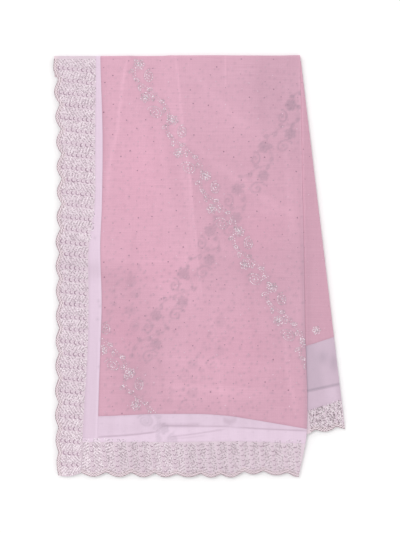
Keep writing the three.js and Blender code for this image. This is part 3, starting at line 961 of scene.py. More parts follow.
@dataclass
class Scatter:
    """Copies of one small shape, each at its place, size and turn, joined as one mesh."""

    shape: Shape
    sets: list[tuple[Array, ...]] = field(default_factory=list)

    def add(self, places: Array, size: Array | float, turn: Array, glint: Array) -> None:
        """Adds copies.

        Args:
            places: Their places in metres, a row for each.
            size: Their size in millimetres.
            turn: Their turn about the vertical, in radians.
            glint: Their shade, from 0 to 1.
        """
        spread = (value + np.zeros(len(places)) for value in (size, turn, glint))
        self.sets.append((places, *spread))

    def build(self, name: str, *finishes: Finish) -> Object:
        """Joins the copies.

        Args:
            name: The piece's name.
            *finishes: What they are made of.

        Returns:
            The piece, at the origin.
        """
        places, sizes, turns, glints = (np.concatenate(column) for column in zip(*self.sets))
        cosine, sine = np.cos(turns)[:, None], np.sin(turns)[:, None]
        x, y, z = self.shape.points.T
        copies = np.stack([x * cosine - y * sine, x * sine + y * cosine, z + 0 * cosine], axis=-1)
        points = places[:, None, :] + copies * sizes[:, None, None] * MM
        step = np.arange(len(places))[:, None, None] * len(x)
        faces = (self.shape.faces[None] + step).reshape(-1, 3)
        mesh = bpy.data.meshes.new(name)
        mesh.from_pydata(points.reshape(-1, 3).tolist(), [], faces.tolist())
        piece = bpy.data.objects.new(name, mesh)
        bpy.context.collection.objects.link(piece)
        paint(piece, glint=np.repeat(glints, len(x)))
        dress(piece, *finishes)
        return stand_for(piece, finishes[0])


def cord_along(name: str, points: Array, radius: float, sides: int = 6) -> Object:
    """A stitched cord laid along a line of points and closed at its ends.

    Args:
        name: The piece's name.
        points: Its centre line, in metres.
        radius: Of the cord, in millimetres.
        sides: Faces round it.

    Returns:
        The piece, at the origin.
    """
    deselect()
    gaps = len(points) - 1
    bpy.ops.mesh.primitive_cylinder_add(vertices=sides, radius=radius * MM, depth=1, end_fill_type="NGON")
    piece = just_made(name)
    with edit_mode():
        bpy.ops.mesh.select_mode(type="EDGE")
        bpy.ops.mesh.select_all(action="DESELECT")
    for edge in piece.data.edges:
        a, b = (piece.data.vertices[i].co.z for i in edge.vertices)
        edge.select = abs(a - b) > 0.5
    with edit_mode():
        bpy.ops.mesh.subdivide(number_cuts=gaps - 1)
    straight = points_of(piece)
    station = np.clip(np.rint((straight[:, 2] + 0.5) * gaps).astype(int), 0, gaps)
    along = np.gradient(points, axis=0)
    along /= np.linalg.norm(along, axis=1, keepdims=True)
    side = np.cross(along, (0, 0, 1))
    side /= np.linalg.norm(side, axis=1, keepdims=True)
    up = np.cross(side, along)
    move_points(piece, points[station] + straight[:, :1] * side[station] + straight[:, 1:2] * up[station])
    paint(piece, glint=0.5 + 0.5 * np.sin(station * 1.9))
    to_all_faces(piece, bpy.ops.mesh.normals_make_consistent, inside=False)
    smooth_faces(piece, CORD_CREASE)
    dress(piece, Finish.CORD)
    return stand_for(piece, Finish.CORD)


def stand_for(piece: Object, finish: Finish, node: str = "") -> Object:
    """Makes a piece ride on the saree and stand for a CAD node.

    Args:
        piece: The object.
        finish: Not used.
        node: The CAD node that it replaces, if any.

    Returns:
        The same object.
    """
    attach(piece, "root")
    if node:
        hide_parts(node)
    LOG.info("%s: %d faces%s", piece.name, len(piece.data.polygons), node and f", for {node}")
    return piece


def declare_sheet(piece: Object, flat: Pair, **more: object) -> Object:
    """Hands a piece back as it is."""
    return piece


# ------------------------------------------------------------------ stone work


class Hand(Enum):
    """Which way a motif is turned."""

    AS_DRAWN = 1.0
    MIRRORED = -1.0


def rotated(points: Array, angle: float) -> Array:
    """Flat points turned about the origin."""
    c, s = math.cos(angle), math.sin(angle)
    return points @ np.array([[c, s], [-s, c]])


def stones_along(points: Array, pitch: float = 3.2) -> Array:
    """Sets stones at an even pitch along a line of flat points.

    Args:
        points: The line's flat points.
        pitch: Distance from one to the next.

    Returns:
        The stones' flat points.
    """
    steps = np.linalg.norm(np.diff(points, axis=0), axis=1)
    run = np.concatenate([[0], np.cumsum(steps)])
    at = np.arange(0, run[-1] + 0.01, pitch)
    return np.stack([np.interp(at, run, points[:, 0]), np.interp(at, run, points[:, 1])], axis=-1)


@dataclass(frozen=True)
class VineMotifs:
    """The plain flowers, curls and leaves that a stone vine is made of, about their own origins."""

    petals: int = 6
    petal: Pair = (7.4, 5.4)
    heart: float = 3.0
    curl: Pair = (14.0, 11.0)
    turns: float = 2.3
    leaf: Pair = (8.5, 4.6)
    loop_pitch: float = 2.9

    def loop(self, size: Pair, angle: float, start: float) -> Array:
        """A loop of stones that leaves a point at an angle.

        Args:
            size: Its length and width.
            angle: Its direction.
            start: How far from the origin it begins.

        Returns:
            The stones' flat points.
        """
        t = np.linspace(0, 2 * math.pi, 40)
        drawn = np.stack([start + size[0] * (1 - np.cos(t)) / 2, size[1] * np.sin(t) / 2], axis=-1)
        return rotated(stones_along(drawn, self.loop_pitch), angle)

    def flower_stones(self) -> Array:
        """Looped petals about a ring of stones and its centre."""
        angles = np.arange(self.petals) * 2 * math.pi / self.petals
        loops = [self.loop(self.petal, angle, self.heart + 0.4) for angle in angles]
        ring = self.heart * np.stack([np.cos(angles + 0.5), np.sin(angles + 0.5)], axis=-1)
        return np.concatenate([*loops, ring, np.zeros((1, 2))])

    def curl_stones(self) -> Array:
        """A tendril about the origin: it winds in from its left end."""
        t = np.linspace(0, 1, 110)
        angle = 2 * math.pi * self.turns * t
        size = 1 - 0.88 * t
        wide, tall = self.curl
        drawn = np.stack([-wide * size * np.cos(angle), tall * size * np.sin(angle)], axis=-1)
        return np.concatenate([stones_along(drawn), np.zeros((1, 2))])

    def leaf_stones(self) -> Array:
        """A small leaf."""
        return self.loop(self.leaf, 0.0, 1.5)


@dataclass(frozen=True)
class Vine:
    """A trailing vine: a flower and a curl on one side of its stem, then both on the other side."""

    first: Pair
    repeat: Pair
    flowers: tuple[Pair, Pair]
    curls: tuple[Pair, Pair]
    count: int
    hand: Hand = Hand.AS_DRAWN
    scale: float = 1.0
    sway: float = 12.0
    axis: float = -13.0
    stem_pitch: float = 4.6
    second_stem: float = 5.2
    leaf_gap: int = 9
    motifs: VineMotifs = field(default_factory=VineMotifs)

    def at(self, k: int, offset: Pair) -> Array:
        """The flat place of an offset in repeat k."""
        return np.array(self.first) + k * np.array(self.repeat) + np.array(offset)

    def stem(self, beside: float = 0.0) -> Array:
        """The stem's flat points, or those of a line beside it: it winds away from the blooms.

        Args:
            beside: How far to one side the line runs.

        Returns:
            The line's flat points.
        """
        share = np.linspace(-0.45, self.count - 0.05, 60 * self.count)
        swing = np.sin(2 * math.pi * (share + 0.04)) + 0.25 * np.sin(4 * math.pi * share)
        step = np.array(self.repeat)
        sideways = rotated(step[None] / np.linalg.norm(step), self.hand.value * math.pi / 2)[0]
        across = self.axis + (beside - self.sway * swing)
        return self.at(0, (0, 0)) + share[:, None] * step + across[:, None] * sideways

    def blooms(self) -> Array:
        """The flowers' stones."""
        flower = self.motifs.flower_stones() * self.scale
        spots = [self.at(k, offset) for k in range(self.count) for offset in self.flowers]
        return np.concatenate([rotated(flower, 0.4 * i) + spot for i, spot in enumerate(spots)])

    def sprays(self) -> Array:
        """The stones of the curls and leaves along the stem."""
        stem, sets = self.stem(), []
        way = math.atan2(self.repeat[1], self.repeat[0])
        for k in range(self.count):
            for offset, side, size in zip(self.curls, (-1, 1), (0.9, 1.1)):
                flip = self.hand.value * side
                drawn = self.motifs.curl_stones() * [1, flip] * np.array(self.scale * size)
                sets.append(rotated(drawn, way + flip * 0.6) + self.at(k, offset))
        leaf = self.motifs.leaf_stones() * self.scale
        for i in range(5, len(stem) - 3, self.leaf_gap):
            heading = math.atan2(*(stem[i + 1] - stem[i - 1])[::-1])
            sets.append(rotated(leaf, heading + (0.8 if i % 2 else -0.8)) + stem[i])
        return np.concatenate(sets)

    def stones(self) -> Array:
        """Every stone of the vine, with its stem in two lines, in flat coordinates."""
        stems = [stones_along(self.stem(beside), self.stem_pitch) for beside in (0.0, self.second_stem)]
        return np.concatenate([self.blooms(), self.sprays(), *stems])


REPEAT, FLOWERS, CURLS = (72.0, -121.0), ((0.0, 0.0), (12.0, -71.0)), ((20.0, -25.0), (33.0, -104.0))
FRONT_MOTIFS = VineMotifs(curl=(16.0, 12.0), turns=2.2, leaf=(10.5, 5.2))
FRONT_VINES = tuple(
    Vine(first, REPEAT, FLOWERS, CURLS, count, stem_pitch=5.4, leaf_gap=7, motifs=FRONT_MOTIFS)
    for first, count in (((188.0, 896.0), 6), ((95.0, 348.0), 3))
)
SEEN_REPEAT, SEEN_FLOWERS = (-58.4, -91.2), ((0.0, 0.0), (-1.0, -62.0))
SEEN_CURLS, FEW_CURLS = ((-19.0, -26.0), (-15.0, -90.0)), ((9.0, -27.0), (6.0, -95.0))
SEEN_WAY = {
    "hand": Hand.MIRRORED,
    "sway": 17.0,
    "stem_pitch": 2.4,
    "motifs": VineMotifs(curl=(17.0, 13.5), turns=1.35),
}
SEEN_THROUGH = (
    (0.6, Vine((515.0, 808.0), SEEN_REPEAT, SEEN_FLOWERS, SEEN_CURLS, 6, **SEEN_WAY)),
    (0.32, Vine((169.0, 424.0), SEEN_REPEAT, SEEN_FLOWERS, FEW_CURLS, 1, scale=0.9)),
    (0.28, Vine((361.0, 337.0), SEEN_REPEAT, SEEN_FLOWERS, SEEN_CURLS, 2, **SEEN_WAY)),
)
DOT_ACROSS, DOT_ALONG = 34.7, 32.6  # pitch of the scattered dots


def quincunx(low: Pair, high: Pair, wander: float = 1.8) -> Array:
    """Flat places of the scattered dots, in staggered rows.

    Args:
        low: Lowest u and v.
        high: Highest u and v.
        wander: How far a dot strays from its even place.

    Returns:
        The places, a row for each dot.
    """
    spots = []
    for row in range(int((high[1] - low[1]) / (DOT_ALONG / 2)) + 1):
        start = low[0] + (DOT_ACROSS / 2 if row % 2 else 0)
        spots += [(u, low[1] + row * DOT_ALONG / 2) for u in np.arange(start, high[0], DOT_ACROSS)]
    return np.array(spots) + np.random.default_rng(11).normal(0, wander, (len(spots), 2))


def nearness(u: Array, v: Array, spots: Array, spread: float) -> Array:
    """How close flat points lie to the nearest of some spots, as a soft 0 to 1.

    Args:
        u: Flat places across.
        v: Flat places along.
        spots: The spots.
        spread: Distance at which the effect is about a third.

    Returns:
        A value for each point.
    """
    best = np.full(u.shape, np.inf)
    for group in np.array_split(spots, max(1, len(spots) // 64)):
        gap = (u[:, None] - group[:, 0]) ** 2 + (v[:, None] - group[:, 1]) ** 2
        best = np.minimum(best, gap.min(axis=1))
    return np.exp(-best / spread**2)


def seen_through(u: Array, v: Array) -> Array:
    """How much of the stone work on the stretches below shows at flat points.

    Args:
        u: Flat places across.
        v: Flat places along.

    Returns:
        A value for each point.
    """
    shown = np.zeros_like(u)
    for strength, vine in SEEN_THROUGH:
        stem = stones_along(vine.stem(), vine.stem_pitch)
        sets = ((0.95, vine.blooms(), 2.8), (1.0, vine.sprays(), 2.1), (0.5, stem, 2.1))
        for share, stones, spread in sets:
            shown = np.maximum(shown, share * strength * nearness(u, v, stones, spread))
    return shown


# ------------------------------------------------------------------ the front stretch


@dataclass
class FrontPanel:
    """The pink body of the front stretch, with its stone vines and dots."""

    gaps: Gaps = (158, 286)
    flat: Pair = (0.45, 0.86)
    stone: float = 1.2
    dot: float = 1.4
    clear: float = 3.0
    seed: int = 5

    def spot(self, s: Array, t: Array) -> Spot:
        """Flat coordinates of shares across and along the panel.

        Args:
            s: Shares across.
            t: Shares along.

        Returns:
            Two distances for each point.
        """
        w = 100 + 440 * s
        for _ in range(3):
            q = FRONT.rows(HEM_AT.panel(w), t)
            w = FRONT.columns(SIDE_AT.strip(np.minimum(q, FOLD_LINE)) + EASE, q, s)
        return w, q

    def place(self, s: Array, t: Array) -> Array:
        """Points of the panel's outer face, rolled down a little along its seams.

        Args:
            s: Shares across.
            t: Shares along.

        Returns:
            Points in metres, in the frame.
        """
        w, q = self.spot(s, t)
        left, low = SIDE_AT.strip(np.minimum(q, FOLD_LINE)), HEM_AT.panel(w)
        roll = 0.35 * (ridge(w - left, 2.5) + ridge(q - low, 2.5))
        return FRONT.place(w, q, -roll * (q < FOLD_LINE))

    def tone(self, s: Array, t: Array) -> Array:
        """Deeper where more stretches lie below; painted seam shadow, painted light and shade on the folds.

        Args:
            s: Shares across.
            t: Shares along.

        Returns:
            A tone for each point.
        """
        w, q = self.spot(s, t)
        flat = np.minimum(q, FOLD_LINE)
        edge, left = CREASE_AT.edge(flat), SIDE_AT.strip(flat)
        beyond = smooth(edge - 5, edge + 3, w) * (0.32 * smooth(330, 470, q) - 0.22 * smooth(680, 840, q))
        another = 0.2 * smooth(466, 436, q + 0.1 * (w - 100)) * smooth(250, 170, w)
        lower = 0.32 * smooth(430, 200, q) * smooth(120, 260, w)
        # painted shadow along the seams with the side strip and the hem band
        seams = 0.35 * ridge(w - left, 2.6) + 0.4 * ridge(q - HEM_AT.panel(w), 2.6)
        # deeper over more cloth, with painted shade and light of the folds
        layer_tone_and_fold_shade = 0.67 * total(FRONT_SHADES, w, q)
        # painted light on the crease ridges and painted shade in their troughs
        crease_light_and_shade = -0.75 * total(FRONT_CREASES, w, flat)
        lit_fold = -0.4 * smooth(5, 1, CREASE_AT.fold(flat) - w)
        return 0.34 + beyond + another + lower + seams + layer_tone_and_fold_shade + crease_light_and_shade + lit_fold

    def blush(self, s: Array, t: Array) -> Array:
        """Pinker where less lies below."""
        return total(FRONT_BLUSHES, *self.spot(s, t))

    def below(self, s: Array, t: Array) -> Array:
        """The stone work on the stretches below, and their edge, show through soft and grey.

        Args:
            s: Shares across.
            t: Shares along.

        Returns:
            A share for each point.
        """
        w, q = self.spot(s, t)
        halo = np.concatenate([vine.stones() for vine in FRONT_VINES])
        strays = ((4.0, [9, 7]), (3.0, [3, -9]))
        fields = [quincunx((112, 142), (540, 905), wander) + shift for wander, shift in strays]
        near = np.maximum(seen_through(w, q), 0.26 * nearness(w, q, halo, 3.0))
        fold = CREASE_AT.fold(np.minimum(q, FOLD_LINE)) - w
        greyed = 0.5 * ridge(fold - 0.5, 6) * smooth(800, 380, q)
        greyed += 0.2 * ridge(fold - 55, 60) * smooth(600, 790, q)
        greyed += 0.2 * ridge(fold - 36, 36) * ridge(q - 335, 75)
        greyed += 0.17 * ridge(fold - 12, 22) * smooth(640, 780, q)
        dotted = (0.3 + 0.25 * smooth(520, 430, q)) * nearness(w, q, np.concatenate(fields), 2.4)
        return near + dotted + greyed - np.minimum(0, self.blush(s, t))

    def build(self) -> Object:
        """Builds the panel, its vines and its dots."""
        shades = {"tone": self.tone, "blush": self.blush, "below": self.below}
        panel = thin_cloth("front_cloth", "front_panel", Finish.PINK, self.gaps, self.place, **shades)
        vines = self.stones("front_vine_stones", self.vine_spots(), self.stone, Finish.SILVER, 1.0)
        dots = self.stones("front_dots", self.dot_spots(), self.dot, Finish.DOT, 0.8)
        return declare_sheet(panel, self.flat, with_pieces=[vines, dots])

    def inside(self, spots: Array) -> Array:
        """The spots that lie on the panel's flat top, clear of its seams.

        Args:
            spots: Flat places.

        Returns:
            The spots that are kept.
        """
        u, v = spots.T
        kept = (u > SIDE_AT.strip(v) + self.clear) & (v > HEM_AT.panel(u) + self.clear)
        return spots[kept & (u < CREASE_AT.fold(v) - self.clear / 2) & (v < FOLD_LINE - 1)]

    def vine_spots(self) -> Array:
        """Flat places of the vines' stones."""
        return self.inside(np.concatenate([vine.stones() for vine in FRONT_VINES]))

    def dot_spots(self) -> Array:
        """Flat places of the scattered dots, left out where a vine runs."""
        spots = self.inside(quincunx((112, 140), (546, 912)))
        return spots[nearness(*spots.T, self.vine_spots(), 6.0) < 0.3]

    def stones(self, name: str, spots: Array, size: float, finish: Finish, dullness: float) -> Object:
        """Sets stones on the panel.

        Args:
            name: The piece's name.
            spots: Their flat places.
            size: Their radius in millimetres.
            finish: What they are made of.
            dullness: 1 where as many are dull as bright, and less where more are dull.

        Returns:
            The piece.
        """
        chance = np.random.default_rng(self.seed)
        scatter = Scatter(faceted_stone())
        places = FRONT.place(*spots.T, STONE_SUNK)
        sizes = size * chance.uniform(0.72, 1.25, len(spots))
        glint = chance.random(len(spots)) ** dullness
        scatter.add(places, sizes, chance.uniform(0, math.pi, len(spots)), glint)
        return scatter.build(name, finish)


HEM_SHADOWS = laid_out(
    Crease,
    (98, 88, 222, 99, 0.7, 1.6), (226, 116, 318, 116, 0.5, 4.5), (232, 112.5, 380, 112, 0.4, 1.5),
    (100, 113, 222, 122, 0.1, 12.0), (410, 109, 549, 103, 0.5, 1.6), (250, 88, 371, 105, 0.6, 1.5),
    (246, 84, 330, 92, 0.3, 1.8), (368, 126, 398, 128, 0.5, 7.0),
)


@dataclass
class Facings:
    """The lilac strip inside the side lace, and the band and strip across the end."""

    side_gaps: Gaps = (16, 260)
    side_flat: Pair = (0.018, 0.9)
    hem_gaps: Gaps = (170, 22)

    def side_spot(self, s: Array, t: Array) -> Spot:
        """Flat coordinates of shares across and along the side strip.

        Args:
            s: Shares across.
            t: Shares along.

        Returns:
            Two distances for each point.
        """
        q = FRONT.rows(float(HEM_AT.tuck(80)), t)
        flat = np.minimum(q, FOLD_LINE)
        lace, strip = SIDE_AT.lace(flat) - 2 * EASE, SIDE_AT.strip(flat) - EASE
        return lace + (strip - lace) * s, q

    def side_strip(self) -> Object:
        """Builds the strip along the side."""

        def place(s: Array, t: Array) -> Array:
            """Its outer face, with a soft roll along the panel.

            Args:
                s: Shares across.
                t: Shares along.

            Returns:
                Points in metres, in the frame.
            """
            w, q = self.side_spot(s, t)
            roll = 0.25 * ridge(w - SIDE_AT.strip(np.minimum(q, FOLD_LINE)) + 1.6, 1.8)
            return FRONT.place(w, q, roll * (q < FOLD_LINE))

        def tone(s: Array, t: Array) -> Array:
            """Deeper beside the lace and lower down, with painted shade along the seam with the panel.

            Args:
                s: Shares across.
                t: Shares along.

            Returns:
                A tone for each point.
            """
            q = self.side_spot(s, t)[1]
            # its last term is painted shade along the seam with the panel
            seams = 0.35 * smooth(0.25, 0, s) - 0.3 * smooth(0.75, 0.95, s) + 0.5 * smooth(0.96, 1, s)
            return 0.08 + 0.25 * smooth(500, 200, q) + 0.42 * ridge(q - 450, 22) + seams

        def below(s: Array, t: Array) -> Array:
            """Dots on the stretch below show through faintly."""
            dots = np.array([(98, 383), (101, 372), (96, 343), (104, 300), (99, 240), (90, 520)])
            return 0.3 * nearness(*self.side_spot(s, t), dots, 3.5)

        shades = {"tone": tone, "below": below}
        strip = thin_cloth("side_facing", "side_strip", Finish.LILAC, self.side_gaps, place, **shades)
        return declare_sheet(strip, self.side_flat)

    def across(
        self, node: str, low: Line, high: Line, left: Line, flat: Pair, share: float, shadow: float
    ) -> Object:
        """Builds a piece across the end of the front stretch.

        Args:
            node: CAD node that it stands for.
            low: Its lower seam.
            high: Its upper seam.
            left: Its left seam, along the side.
            flat: Its flat width and length in metres.
            share: Its flat area as a share of that rectangle.
            shadow: How deep its tone is.

        Returns:
            The piece.
        """

        def spot(s: Array, t: Array) -> Spot:
            """Flat coordinates of shares across and along it.

            Args:
                s: Shares across.
                t: Shares along.

            Returns:
                Two distances for each point.
            """
            near = 90 + 455 * s
            v = low(near) + (high(near) - low(near)) * t
            w = FRONT.columns(left(v) + EASE, v, s, 0.95)
            u = np.minimum(w, HALF_WIDTH)
            return w, low(u) + EASE + (high(u) - low(u) - 2 * EASE) * t

        def place(s: Array, t: Array) -> Array:
            """Its outer face, rolled up along its lower seam."""
            w, v = spot(s, t)
            return FRONT.place(w, v, 0.3 * ridge(v - low(w) - 1.6, 1.9))

        def tone(s: Array, t: Array) -> Array:
            """Painted shade just above the seam below it, and painted shadow along its tucks and crease
            lines.

            Args:
                s: Shares across.
                t: Shares along.

            Returns:
                A tone for each point.
            """
            w, v = spot(s, t)
            # painted shade along both seams
            seam = 0.3 * smooth(0.1, 0.0, t) + 0.25 * smooth(0.85, 1, t)
            streaks = 0.1 * np.sin(w / 17) * np.sin(w / 6.1) + 0.16 * smooth(200, 420, w)
            # total(HEM_SHADOWS) adds painted shadow along the tucks and crease lines
            return shadow + seam + streaks + total(HEM_SHADOWS, w, v)

        def below(s: Array, t: Array) -> Array:
            """The vine and dots of the stretch below show through faintly; painted tuck shadows grey it.

            Args:
                s: Shares across.
                t: Shares along.

            Returns:
                A share for each point.
            """
            w, v = spot(s, t)
            dots = 0.2 * nearness(w, v, quincunx((104, 84), (540, 140)), 1.8)
            vine = 0.35 * nearness(w, v, FRONT_VINES[1].stones(), 2.5)
            return dots + vine + 0.15 * total(HEM_SHADOWS, w, v)

        shades = {"tone": tone, "below": below}
        piece = thin_cloth(node + "_facing", node, Finish.LILAC, self.hem_gaps, place, **shades)
        return declare_sheet(piece, flat, area=share * flat[0] * flat[1])

    def build(self) -> None:
        """Builds the three facings of the front stretch."""
        self.side_strip()
        tuck, panel, lace = HEM_AT.tuck, HEM_AT.panel, HEM_AT.lace
        self.across("hem_band", tuck, panel, SIDE_AT.strip, (0.46, 0.046), 0.66, 0.26)
        self.across("hem_strip", lace, tuck, SIDE_AT.lace, (0.5, 0.033), 0.73, 0.0)


# ------------------------------------------------------------------ lace


@dataclass(frozen=True)
class LacePlan:
    """Where one lace lies: its edge and its seam by distance along it, and how it is put in place."""

    node: str
    scallops: Callable[[Array], Array]
    run: Pair
    trimmed: Pair
    edge: Callable[[Array], Array]
    seam: Callable[[Array], Array]
    put: Callable[[Array, Array, float], Array]
    flat: Pair
    gaps: Gaps
    spill: Line
    dim: Line
    pale: float = 0.25

    def half_scallops(self) -> Array:
        """Distances along the lace of its valleys and tips."""
        fine = np.arange(*self.trimmed, 0.5)
        passed = self.scallops(fine)
        first, last = math.ceil(2 * passed[0] + 0.2), math.floor(2 * passed[-1] - 0.1)
        return np.interp(np.arange(first, last + 1) / 2, passed, fine)


@dataclass
class Lace:
    """A scalloped lace: net ground, two rows of stitched leaves to a scallop, sequins and cords."""

    plan: LacePlan
    border: float = 7.0
    border_rows: tuple[float, ...] = (1.5, 3.9, 6.2)
    border_pitch: float = 2.9
    cord: float = 0.75
    cord_inset: float = 0.5
    cord_step: float = 2.0
    inner_cord: float = 0.4
    leaf: float = 3.5
    leaf_pitch: float = 10.0
    leaf_shades: Pair = (0.1, 0.9)
    leaf_turn: float = 0.35
    leaf_inset: float = 14.0
    leaf_stop: float = 7.0
    leaf_sizes: Pair = (0.8, 1.08)
    leaf_stray: Pair = (0.6, 0.25)  # along the lace in millimetres, and of its turn in radians
    lean: float = -0.12
    sequin: float = 1.0
    knot: float = 0.85
    bead_sizes: Pair = (0.8, 1.15)
    bead_stray: float = 0.35
    beads_kept: float = 0.9
    knot_shade: float = 0.7
    border_shade: float = 0.95
    muddle: float = 0.22
    clear: Pair = (3.6, 5.0)
    lattice: Pair = (3.5, 3.3)
    seed: int = 3

    def ground(self) -> Object:
        """Builds the net."""
        p = self.plan

        def along(s: Array) -> Array:
            """Distance along the lace of a share of its run."""
            return p.run[0] + (p.run[1] - p.run[0]) * s

        def inward(s: Array, t: Array) -> Array:
            """Distance in from the edge of a share of the lace's depth."""
            return t * (p.seam(along(s)) - p.edge(along(s)))

        def place(s: Array, t: Array) -> Array:
            """The net's outer face."""
            return p.put(along(s), p.edge(along(s)) + inward(s, t), 0.0)

        def tone(s: Array, t: Array) -> Array:
            """The ground is paler between the rows of stitched leaves."""
            return p.pale - 0.2 * np.cos(4 * math.pi * p.scallops(along(s)))

        def rim(s: Array, t: Array) -> Array:
            """The pale border along the scallops."""
            return 0.8 * smooth(self.border + 4, self.border, inward(s, t))

        return thin_cloth(p.node + "_net", p.node, Finish.LACE, p.gaps, place, tone=tone, rim=rim)

    def row_spots(self, along: float) -> Spot:
        """Distances along the lace and in from its edge of one row of leaves.

        Args:
            along: Distance along the lace.

        Returns:
            Both distances, for each leaf.
        """
        at = np.array(along)
        low, high = self.plan.edge(at) + self.leaf_inset, self.plan.seam(at) - self.leaf_stop
        inward = np.linspace(low, high, 1 + max(1, round((high - low) / self.leaf_pitch)))
        return along + self.lean * (inward - low), inward

    def leaves(self) -> Object:
        """Builds the rows of stitched leaves, two rows to a scallop."""
        p, chance = self.plan, np.random.default_rng(self.seed)
        scatter = Scatter(crescent())
        for row in p.half_scallops():
            along, inward = self.row_spots(row)
            count = len(along)
            along = along + chance.normal(0, self.leaf_stray[0], count)
            places = p.put(along, inward, STITCH_SUNK)
            ahead = p.put(along, inward + 0.5, STITCH_SUNK) - places
            heading = np.arctan2(ahead[:, 1], ahead[:, 0]) + self.leaf_turn
            turn = heading + chance.normal(0, self.leaf_stray[1], count)
            size = self.leaf * chance.uniform(*self.leaf_sizes, count)
            scatter.add(places, size, turn, chance.uniform(*self.leaf_shades, count))
        return scatter.build(p.node + "_net_leaves", Finish.SPRIG)

    def slanting_lines(self, scatter: Scatter, rows: Array, chance: np.random.Generator) -> None:
        """Adds the slanting lines of sequins and knots between the leaves.

        Args:
            scatter: What they are added to.
            rows: Distances along the lace of the rows of leaves.
            chance: Where the random draws come from.
        """
        p = self.plan
        step, deep = self.lattice
        columns = np.arange(p.trimmed[0] + 1.5, p.trimmed[1] - 1, step / 2)
        for k, along in enumerate(columns):
            low = float(p.edge(np.array(along))) + self.border + 1
            high = float(p.seam(np.array(along)) + p.spill(along))
            half_steps = np.arange(k % 2, 2 * (high - low) / deep, 2)
            inward, count = low + deep / 2 * half_steps, len(half_steps)
            upright = along - self.lean * (inward - low)
            band = np.searchsorted(rows, upright)
            line = np.where(band % 2, half_steps + k, half_steps - k + len(columns) * 2) // 2
            gap = np.abs(upright - rows[:, None]).min(axis=0)
            bright = (line % 2 == 0) ^ (chance.random(count) < self.muddle)
            kept = (gap > np.where(bright, *self.clear)) & (chance.random(count) < self.beads_kept)
            shift = chance.normal(0, self.bead_stray, (2, count))
            places = p.put(along + shift[0], inward + shift[1], SEQUIN_SUNK)[kept]
            size = np.where(bright, self.sequin, self.knot) * chance.uniform(*self.bead_sizes, count)
            shade = p.dim(along) + np.where(bright, 0.0, self.knot_shade) + 0.3 * chance.random(count)
            scatter.add(places, size[kept], chance.uniform(0, 1, len(places)), shade[kept])

    def sequins(self) -> Object:
        """Builds the sequins and knots between the leaves and in them, and the dotted border."""
        p, chance = self.plan, np.random.default_rng(self.seed + 1)
        scatter, rows = Scatter(faceted_stone()), p.half_scallops()
        self.slanting_lines(scatter, rows, chance)
        for row in rows:
            along, inward = self.row_spots(row)
            inside = (along > p.trimmed[0] + 2) & (along < p.trimmed[1] - 2)
            places = p.put(along, inward, SEQUIN_SUNK)[inside]
            shade = p.dim(along[inside]) + 0.25 * chance.random(len(places))
            scatter.add(places, self.sequin, chance.uniform(0, 1, len(places)), shade)
        dense = np.arange(p.trimmed[0] + 0.8, p.trimmed[1] - 0.5, self.border_pitch)
        for row, inset in enumerate(self.border_rows):
            places = p.put(dense, p.edge(dense) + inset, SEQUIN_SUNK)
            bright = (np.arange(len(dense)) + row) % 2
            shade = p.dim(dense) + np.where(bright, 0.0, self.border_shade)
            scatter.add(places, self.knot, chance.uniform(0, 1, len(dense)), shade)
        return scatter.build(p.node + "_net_sequins", Finish.SEQUIN)

    def cord_in(self, part: str, inset: float, radius: float) -> Object:
        """Builds the cord on the scalloped edge, or the finer one that runs inside it.

        Args:
            part: Its place, for its name.
            inset: How far in from the edge it runs.
            radius: Its radius in millimetres.

        Returns:
            The piece.
        """
        p = self.plan
        along = np.arange(*p.trimmed, self.cord_step)
        line = p.put(along, p.edge(along) + inset, STITCH_SUNK)
        return cord_along(f"{p.node}_net_{part}_cord", line, radius)

    def build(self) -> Object:
        """Builds the lace."""
        net, trims = self.ground(), [self.leaves(), self.sequins()]
        trims.append(self.cord_in("edge", self.cord_inset, self.cord))
        trims.append(self.cord_in("inner", self.border, self.inner_cord))
        return declare_sheet(net, self.plan.flat, with_pieces=trims)


def side_lace_plan() -> LacePlan:
    """The lace down the long side; it runs on round the far fold, held as it is there."""

    def put(along: Array, u: Array, rise: float) -> Array:
        """Places a point, following the corner scallop at the hem."""
        corner = hem_edge(u) * (1 - smooth(0, SIDE_PITCH, np.minimum(along, FOLD_LINE)))
        return FRONT.place(u, along + corner, rise)

    return LacePlan(
        node="side_lace",
        scallops=side_scallops,
        run=(0.0, FrontLay.full_length),
        trimmed=(0.6, FOLD_LINE - 1),
        edge=lambda along: side_edge(np.minimum(along, FOLD_LINE)),
        seam=lambda along: SIDE_AT.lace(np.minimum(along, FOLD_LINE)) - EASE,
        put=put,
        flat=(0.08, 0.97),
        gaps=(640, 30),
        spill=Line((0, 300, 470, 500, 530, 560, 600, 900), (-1, 0, -1, 0, 5, 4, 0, 0)),
        dim=Line((0, 60, 120, 400, 460, 520, 700, 980), (-0.15, -0.1, 0, 0.02, 0.15, 0.04, 0, 0)),
    )


def hem_lace_plan() -> LacePlan:
    """The lace across the end; it runs on round the right-hand fold."""
    first, fold = HEM_VALLEYS[1] + 0.2, float(CREASE_AT.fold(40.0))

    def put(along: Array, v: Array, rise: float) -> Array:
        """Places a point of the lace beside the side lace's seam."""
        shift = (SIDE_AT.lace(v) - SIDE_AT.lace(0.0)) * smooth(110, 60, along)
        return FRONT.place(along + shift, v, rise)

    return LacePlan(
        node="hem_lace",
        scallops=hem_scallops,
        run=(first, fold + 8),
        trimmed=(first + 0.5, fold - 2),
        edge=hem_edge,
        seam=lambda along: HEM_AT.lace(along) - EASE,
        put=put,
        flat=(0.49, 0.075),
        gaps=(330, 30),
        spill=Line((60, 110, 300, 420, 545), (6, 8, -4, 1, 8)),
        dim=Line(
            (60, 110, 140, 180, 225, 265, 300, 460, 540),
            (-0.06, -0.04, 0.1, 0.26, 0.08, 0.08, 0.24, 0.24, 0.18),
        ),
        pale=0.2,
    )


